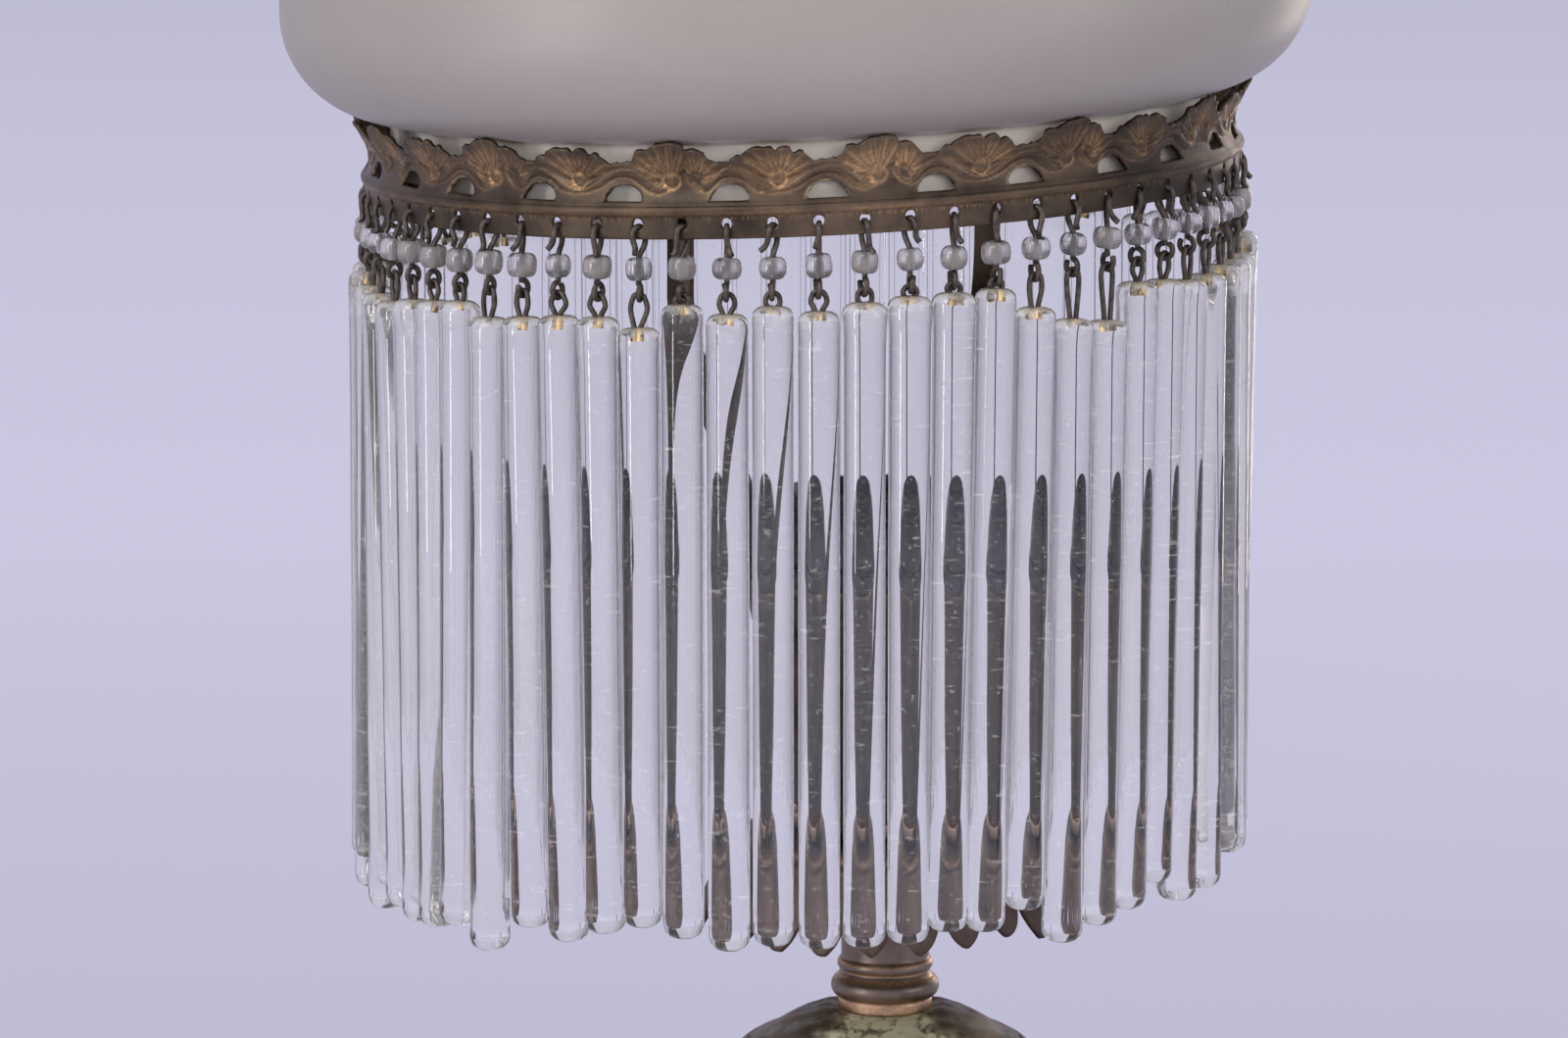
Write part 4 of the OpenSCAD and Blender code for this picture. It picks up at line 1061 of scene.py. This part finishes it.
def smooth_path(points, steps):
    """A smooth curve through given points."""
    p = [Vector(q) for q in points]
    path = []
    for i in range(len(p) - 1):
        a, b, c, d = p[max(i - 1, 0)], p[i], p[i + 1], p[min(i + 2, len(p) - 1)]
        for j in range(steps):
            u = j / steps
            path.append(0.5 * (2 * b + (c - a) * u + (2 * a - 5 * b + 4 * c - d) * u ** 2
                               + (3 * b - a - 3 * c + d) * u ** 3))
    path.append(p[-1])
    return path


def hook_path(chance):
    """One hook in its own frame, with the hole at the origin and local +X outwards."""
    twist = math.radians(chance.uniform(-38, 38))
    eye_twist = math.radians(chance.uniform(-14, 14))
    width = chance.uniform(0.95, 1.2)
    tail = chance.uniform(-5.2, -3.9)
    stray = chance.choice((-1, 1)) * chance.uniform(0.2, 0.9)
    loop = [(width * 1.3, stray * 1.6, tail), (width * 0.85, stray * 0.7, tail + 0.9),
            (width * 1.05, 0, -1.9), (width * 0.75, 0, -0.75), (0, 0, -0.36),
            (-width * 0.75, 0, -0.75), (-width * 1.1, 0, -1.9), (-width * 0.95, 0, -3.2),
            (-width * 0.3, 0, -4.4)]
    eye_start = math.radians(chance.uniform(80, 92))
    sweep = math.radians(chance.uniform(300, 345))
    turn_way = chance.choice((-1, 1))
    eye = []
    for i in range(eye_steps + 1):
        a = eye_start + turn_way * sweep * i / eye_steps
        eye.append((eye_r * math.cos(a), 0.42 * (i / eye_steps) ** 2 * turn_way,
                    -eye_drop + eye_r * math.sin(a)))
    points = [Matrix.Rotation(twist, 3, "Z") @ Vector(q) for q in loop]
    points += [Vector((0, 0, -5.2)), Vector((0, 0, -7.0)), Vector((0, 0, -8.5))]
    points += [Matrix.Rotation(eye_twist, 3, "Z") @ Vector(q) for q in eye]
    return smooth_path(points, 3)


def path_mesh(name, paths, in_glass=None):
    """Chains of edges through several paths in mm, with the buried share of each point."""
    vertices, edges, buried = [], [], []
    for number, path in enumerate(paths):
        start = len(vertices)
        vertices += [tuple(q * mm) for q in path]
        edges += [(start + i, start + i + 1) for i in range(len(path) - 1)]
        buried += in_glass[number] if in_glass else [0.0] * len(path)
    mesh = bpy.data.meshes.new(name)
    mesh.from_pydata(vertices, edges, [])
    carry(mesh, "in_glass", buried)
    carry(mesh, "radius", [1 - 0.5 * b for b in buried])
    return add_object(name, mesh)


def node_tree(name, inputs):
    """An empty geometry tree with a geometry input, named inputs and a geometry output."""
    tree = bpy.data.node_groups.new(name, "GeometryNodeTree")
    tree.interface.new_socket("Geometry", in_out="INPUT", socket_type="NodeSocketGeometry")
    tree.interface.new_socket("Geometry", in_out="OUTPUT", socket_type="NodeSocketGeometry")
    for key, kind in inputs.items():
        tree.interface.new_socket(key, in_out="INPUT", socket_type=kind)
    return tree, add_node(tree, "NodeGroupInput"), add_node(tree, "NodeGroupOutput")


def run_tree(piece, tree, values):
    """Runs a geometry tree on a piece and keeps the result as its plain mesh."""
    modifier = piece.modifiers.new("making", "NODES")
    modifier.node_group = tree
    for item in tree.interface.items_tree:
        if item.in_out == "INPUT" and item.name in values:
            modifier[item.identifier] = values[item.name]
    piece.update_tag()
    bpy.context.view_layer.update()
    apply_modifiers(piece)
    for face in piece.data.polygons:
        face.use_smooth = True


wire_tree, wire_in, wire_out = node_tree("bend_wire", {
    "Wire radius": "NodeSocketFloat", "Sides": "NodeSocketInt", "Finish": "NodeSocketMaterial"})
wire_curve = add_node(wire_tree, "GeometryNodeMeshToCurve", {"Mesh": wire_in.outputs["Geometry"]})
wire_round = add_node(wire_tree, "GeometryNodeCurvePrimitiveCircle", {
    "Resolution": wire_in.outputs["Sides"], "Radius": wire_in.outputs["Wire radius"]})
wire_tube = add_node(wire_tree, "GeometryNodeCurveToMesh", {
    "Curve": wire_curve.outputs["Curve"], "Profile Curve": wire_round.outputs["Curve"],
    "Fill Caps": True})
wire_real = add_node(wire_tree, "GeometryNodeRealizeInstances", {
    "Geometry": wire_tube.outputs["Mesh"]})
wire_set = add_node(wire_tree, "GeometryNodeSetMaterial", {
    "Geometry": wire_real.outputs["Geometry"], "Material": wire_in.outputs["Finish"]})
wire_tree.links.new(wire_set.outputs["Geometry"], wire_out.inputs["Geometry"])

old_wire, old_tree, old_surface = new_material("old_wire", (0.08, 0.062, 0.05), 0.5, 0.75)
rust = noise(old_tree, 900, 6, 0.65)
bare = mix_colour(old_tree, ramp(old_tree, rust, 0.35, 0.65),
                  (0.046, 0.038, 0.031), (0.150, 0.124, 0.100))
# Wire inside the rod heads is painted with bright golden flecks: painted glints.
glint_gold = mix_colour(old_tree, ramp(old_tree, rust, 0.44, 0.56),
                  (0.12, 0.08, 0.045), (0.95, 0.68, 0.30))
feed(old_surface, "Base Color", mix_colour(old_tree, layer(old_tree, "in_glass"), bare, glint_gold))
feed(old_surface, "Roughness", ramp(old_tree, rust, 0.3, 0.7, 0.36, 0.62))
add_bump(old_tree, old_surface, rust, 0.7, 0.08)

chance = random.Random(64)
hook_paths = []
for k in range(rod_count):
    outwards = Matrix.Rotation(rod_turn(k) - math.pi / 2, 4, "Z")
    stand_at = Matrix.Translation(hole_place(k)) @ outwards
    hook_paths.append([stand_at @ q for q in hook_path(chance)])
hooks = path_mesh("wire_hooks", hook_paths)
run_tree(hooks, wire_tree, {"Wire radius": half_wire * mm, "Sides": wire_sides, "Finish": old_wire})
place(hooks, "stand", old_wire, "wire", "hooks")

# Beads. Small drawn glass beads, cloudy and a little pink with age, no two quite the
# same size, threaded on the hooks' shanks.
bead_glass, bead_tree, bead_surface = new_material("bead_glass", (0.93, 0.89, 0.88), 0.12)
milky = ramp(bead_tree, noise(bead_tree, 110, 1, 0.5), 0.42, 0.56)
cloudy = noise(bead_tree, 420, 5, 0.6)
clear_bead = mix_colour(bead_tree, cloudy, (0.78, 0.74, 0.73), (0.95, 0.94, 0.93))
feed(bead_surface, "Base Color", mix_colour(bead_tree, milky, clear_bead, (0.46, 0.415, 0.39)))
feed(bead_surface, "Transmission Weight", ramp(bead_tree, milky, 0, 1, 0.95, 0.64))
feed(bead_surface, "IOR", 1.5)
feed(bead_surface, "Roughness", ramp(bead_tree, cloudy, 0.35, 0.7, 0.0, 0.20))
add_bump(bead_tree, bead_surface, cloudy, 0.25, 0.1)

hang_tree, hang_in, hang_out = node_tree("hang_copies", {
    "First form": "NodeSocketObject", "Second form": "NodeSocketObject",
    "Finish": "NodeSocketMaterial"})
forms = add_node(hang_tree, "GeometryNodeGeometryToInstance")
for socket_name in ("Second form", "First form"):
    form = add_node(hang_tree, "GeometryNodeObjectInfo", {"Object": hang_in.outputs[socket_name],
                                                          "As Instance": False})
    hang_tree.links.new(form.outputs["Geometry"], forms.inputs[0])
kind_of = add_node(hang_tree, "GeometryNodeInputNamedAttribute", {"Name": "kind"}, data_type="INT")
turn_at, size_at = (
    add_node(hang_tree, "GeometryNodeInputNamedAttribute", {"Name": key}, data_type="FLOAT_VECTOR")
    for key in ("turned", "sized"))
spin = add_node(hang_tree, "FunctionNodeEulerToRotation", {0: turn_at.outputs["Attribute"]})
copies = add_node(hang_tree, "GeometryNodeInstanceOnPoints", {
    "Points": hang_in.outputs["Geometry"], "Instance": forms.outputs[0], "Pick Instance": True,
    "Instance Index": kind_of.outputs["Attribute"], "Rotation": spin.outputs[0],
    "Scale": size_at.outputs["Attribute"]})
real = add_node(hang_tree, "GeometryNodeRealizeInstances", {"Geometry": copies.outputs[0]})
finished = add_node(hang_tree, "GeometryNodeSetMaterial", {
    "Geometry": real.outputs["Geometry"], "Material": hang_in.outputs["Finish"]})
hang_tree.links.new(finished.outputs["Geometry"], hang_out.inputs["Geometry"])


def point_cloud(name, entries):
    """Points in mm with a turn, a size and the number of the form that goes on each."""
    mesh = bpy.data.meshes.new(name)
    mesh.from_pydata([tuple(Vector(e[0]) * mm) for e in entries], [], [])
    carry(mesh, "turned", [c for e in entries for c in e[1]], "FLOAT_VECTOR")
    carry(mesh, "sized", [c for e in entries for c in e[2]], "FLOAT_VECTOR")
    carry(mesh, "kind", [e[3] for e in entries], "INT")
    return add_object(name, mesh)


def bead_outline(radius, half_height, squareness):
    """A bead's section: a bored barrel between a ball and a square."""
    outer = []
    for i in range(-8, 9):
        a = math.radians(i * 9.5)
        c, s = math.cos(a), math.sin(a)
        outer.append((0.85 + (radius - 0.85) * abs(c) ** squareness,
                      half_height * math.copysign(abs(s) ** squareness, s)))
    return outer + [(0.72, half_height * 0.96), (0.56, half_height * 0.7),
                    (0.56, -half_height * 0.7), (0.72, -half_height * 0.96)]


bead_forms = [turned("bead_form_a", bead_outline(2.05, 1.8, 0.72), 28),
              turned("bead_form_b", bead_outline(2.05, 1.75, 0.9), 28)]
chance = random.Random(7)
bead_entries = []
for k in range(rod_count):
    at = hole_place(k) + Vector((0, 0, -bead_drop + chance.uniform(-0.05, 0.3)))
    size = chance.uniform(0.97, 1.15)
    tall = chance.uniform(0.93, 1.05)
    tip = (math.radians(chance.uniform(-5, 5)), math.radians(chance.uniform(-5, 5)),
           chance.uniform(0, 6.28))
    bead_entries.append((at, tip, (size, size, tall), chance.choice((0, 1))))
beads = point_cloud("clear_beads", bead_entries)
run_tree(beads, hang_tree, {
    "First form": bead_forms[0], "Second form": bead_forms[1], "Finish": bead_glass})
place(beads, "stand", bead_glass, "bead_glass", "beads")
for form in bead_forms:
    bpy.data.objects.remove(form)

# Links. A short loop of the same wire, caught in the hook's eye above; its two legs are
# fused into the soft head of the rod, where the buried wire is painted with bright golden
# flecks, painted glints. They are counted from the front round by the right: the lists are
# for those in view, waves for the rest.
drops_right = [13.5, 12.5, 12, 12, 12, 15.5, 18, 19, 14, 14.5, 15.5, 15.5, 15, 15]
drops_left = [15, 14, 13.5, 13, 15, 14.5, 14, 14, 15.5, 12, 13.5, 12.5]
lengths_right = [97, 98, 98.5, 97.5, 98.5, 92.5, 96, 93.5, 97.5, 94.5, 98, 97.5, 93.5, 95.5]
lengths_left = [96.5, 98.5, 98.5, 97.5, 98.5, 94.5, 96.5, 94.5, 91.5, 96.5, 97, 97.5]
leans_right = [0.1, 0, -0.1, -0.3, -0.5, -0.7, -0.92, -1.1, -0.9, -0.5, -0.1, 0.1, 0, 0]
leans_left = [0, 0, 0, -0.2, -0.3, 0.3, 0.4, 0.45, 0.3, 0.1, 0.1, 0]
lean_out = 0.5
rods_per_group = 4


def of_rod(k, right, left, rest, swing, rate):
    """A value of rod k: from the lists near the front, from a wave elsewhere."""
    if k < len(right):
        return right[k]
    if k >= rod_count - len(left):
        return left[k - rod_count + len(left)]
    return rest + swing * math.sin(math.radians(rate * k))


def rod_drop(k):
    """How far the head of rod k hangs below its hole."""
    return of_rod(k, drops_right, drops_left, 13.8, 1.4, 137)


def rod_length(k):
    """How long rod k is."""
    return of_rod(k, lengths_right, lengths_left, 97, 1.8, 101)


def rod_lean(k):
    """The turn of rod k about its bearing point, as the three angles of an XYZ turn."""
    side = math.radians(of_rod(k, leans_right, leans_left, 0, 0.1, 149))
    out = -math.radians(lean_out * math.sin(math.radians(67 * k)))
    return side, out, rod_turn(k) - math.pi / 2


def hanging(k):
    """The frame of rod k, with its bearing point at the origin."""
    at = hole_place(k) - Vector((0, 0, pivot_drop))
    return Matrix.Translation(at) @ Euler(rod_lean(k), "XYZ").to_matrix().to_4x4()


def link_path(k, chance):
    """A link in its rod's frame, and how far each of its points is inside the glass."""
    head = -(rod_drop(k) - pivot_drop)
    top = -0.28
    visible = top - head
    widest = max(top - 2.3, top - 0.55 * visible)
    wide = chance.uniform(1.1, 1.35)
    close = chance.uniform(0.5, 0.8)
    deep = chance.uniform(1.3, 2.2)
    skew = chance.uniform(-0.25, 0.25)
    sides = []
    for side in (-1, 1):
        down = [(0, side * 0.55, top - 0.16), (0, side * 0.95, top - 0.62)]
        if visible > 2.0:
            down += [(0, side * wide, widest), (0, side * close + skew, head + 0.25)]
        else:
            down += [(0, side * 1.05, head + 0.35)]
        down += [(0.1 * side, side * close * 0.8 + skew, head - 0.6),
                 (0.3 * side, side * close * 0.6 + skew, head - deep)]
        sides.append(down)
    path = smooth_path(sides[0][::-1] + [(0, 0, top)] + sides[1], 5)
    return path, [1.0 if q.z < head - 0.25 else 0.0 for q in path]


chance = random.Random(16)
for g in range(rod_count // rods_per_group):
    paths, shares = [], []
    for k in range(g * rods_per_group, (g + 1) * rods_per_group):
        path, share = link_path(k, chance)
        paths.append([hanging(k) @ q for q in path])
        shares.append(share)
    name = f"{g + 1:02d}"
    links = path_mesh("wire_links_" + name, paths, shares)
    run_tree(links, wire_tree, {
        "Wire radius": (half_wire - 0.03) * mm, "Sides": wire_sides, "Finish": old_wire})
    place(links, "fringe_" + name, old_wire, "wire", "links_" + name)

# Rods. Drawn glass cane, cut to length, with fire-rounded ends. The head was softened
# again to take the link, so it is fuller and a little flat, and stained at the top.
rod_glass, rod_tree, rod_surface = new_material("rod_glass", (0.97, 0.985, 0.985), 0.0)
feed(rod_surface, "IOR", 1.5)
rod_ends = layer(rod_tree, "wear")
stain_noise = noise(rod_tree, 800, 5, 0.6)
stained = maths(rod_tree, "MULTIPLY", layer(rod_tree, "hollow"),
                ramp(rod_tree, stain_noise, 0.35, 0.6, 0.2, 0.95))
clear = mix_colour(rod_tree, rod_ends, (0.995, 0.988, 0.965), (0.93, 0.925, 0.87))
feed(rod_surface, "Base Color", mix_colour(rod_tree, stained, clear, (0.42, 0.34, 0.26)))
specks = ramp(rod_tree, noise(rod_tree, 1700, 2, 0.5), 0.63, 0.74, 0.0, 0.24)
scratches = ramp(rod_tree, noise(rod_tree, 420, 3, 0.6, (1.0, 1.0, 9.0)), 0.66, 0.75, 0.0, 0.15)
frosted = maths(rod_tree, "MULTIPLY", rod_ends, ramp(rod_tree, stain_noise, 0.48, 0.7, 0.0, 0.35))
dirt = maths(rod_tree, "ADD", specks, scratches)
for more in (frosted, stained):
    dirt = maths(rod_tree, "ADD", dirt, more)
feed(rod_surface, "Transmission Weight", ramp(rod_tree, dirt, 0.0, 1.0, 1.0, 0.25))
feed(rod_surface, "Roughness", ramp(rod_tree, dirt, 0.0, 1.0, 0.0, 0.5))
stock_length = 96.0


def rod_form(name, head_r, shaft_r, tip_r, flat):
    """A rod of stock length from its head at z = 0 down, flattened a little at the head."""
    line = np.array(
        [(0, -0.04), (0.9, -0.04), (1.7, -0.08), (2.3, -0.22), (2.75, -0.5), (head_r - 0.12, -1.0),
         (head_r, -1.8), (head_r, -2.8), (head_r - 0.08, -4.0), (shaft_r + 0.03, -6.0),
         (shaft_r, -9.0)]
        + [(shaft_r + 0.015 * math.sin(z / 5), -z) for z in range(14, 88, 6)]
        + [(shaft_r, -90.0), (tip_r, -92.5), (tip_r, -94.0), (tip_r - 0.25, -94.9),
           (tip_r - 0.75, -95.5), (tip_r - 1.5, -95.9), (0.8, -stock_length), (0, -stock_length)])
    segments = 32
    turn = np.linspace(0, 2 * math.pi, segments, endpoint=False)[None, :]
    radius, height = np.repeat(line[:, :1], segments, 1), np.repeat(line[:, 1:], segments, 1)
    at_head = np.clip((height + 6.5) / 4.5, 0, 1)
    bow = 0.10 * np.sin((height + 10) / 31)
    points = np.stack([radius * np.sin(turn) * (1 - flat * at_head) + bow,
                       -radius * np.cos(turn) * (1 + flat * at_head), height], -1)
    stain = np.clip((height + 1.1) / 0.9, 0, 1) * np.clip(radius - 0.3, 0, 1)
    ends = np.clip((height + 4.5) / 4, 0, 1) * 0.8 + np.clip((-92.5 - height) / 3, 0, 1) * 0.4
    form = grid_mesh(name, points, False, True, {"wear": ends, "hollow": stain})
    close_up(form)
    return form


rod_forms = [rod_form("rod_form_a", 3.32, 3.14, 3.19, 0.02),
             rod_form("rod_form_b", 3.24, 3.17, 3.13, -0.02)]
chance = random.Random(96)
for g in range(rod_count // rods_per_group):
    entries = []
    for k in range(g * rods_per_group, (g + 1) * rods_per_group):
        head = hanging(k) @ Vector((0, 0, -(rod_drop(k) - pivot_drop)))
        thick = chance.uniform(0.985, 1.01)
        size = (thick, thick, rod_length(k) / stock_length)
        entries.append((head, rod_lean(k), size, chance.choice((0, 1))))
    name = f"{g + 1:02d}"
    rods = point_cloud("glass_rods_" + name, entries)
    run_tree(rods, hang_tree, {
        "First form": rod_forms[0], "Second form": rod_forms[1], "Finish": rod_glass})
    place(rods, "fringe_" + name, rod_glass, "clear_glass", "rods_" + name)
    rods.visible_shadow = False
for form in rod_forms:
    bpy.data.objects.remove(form)
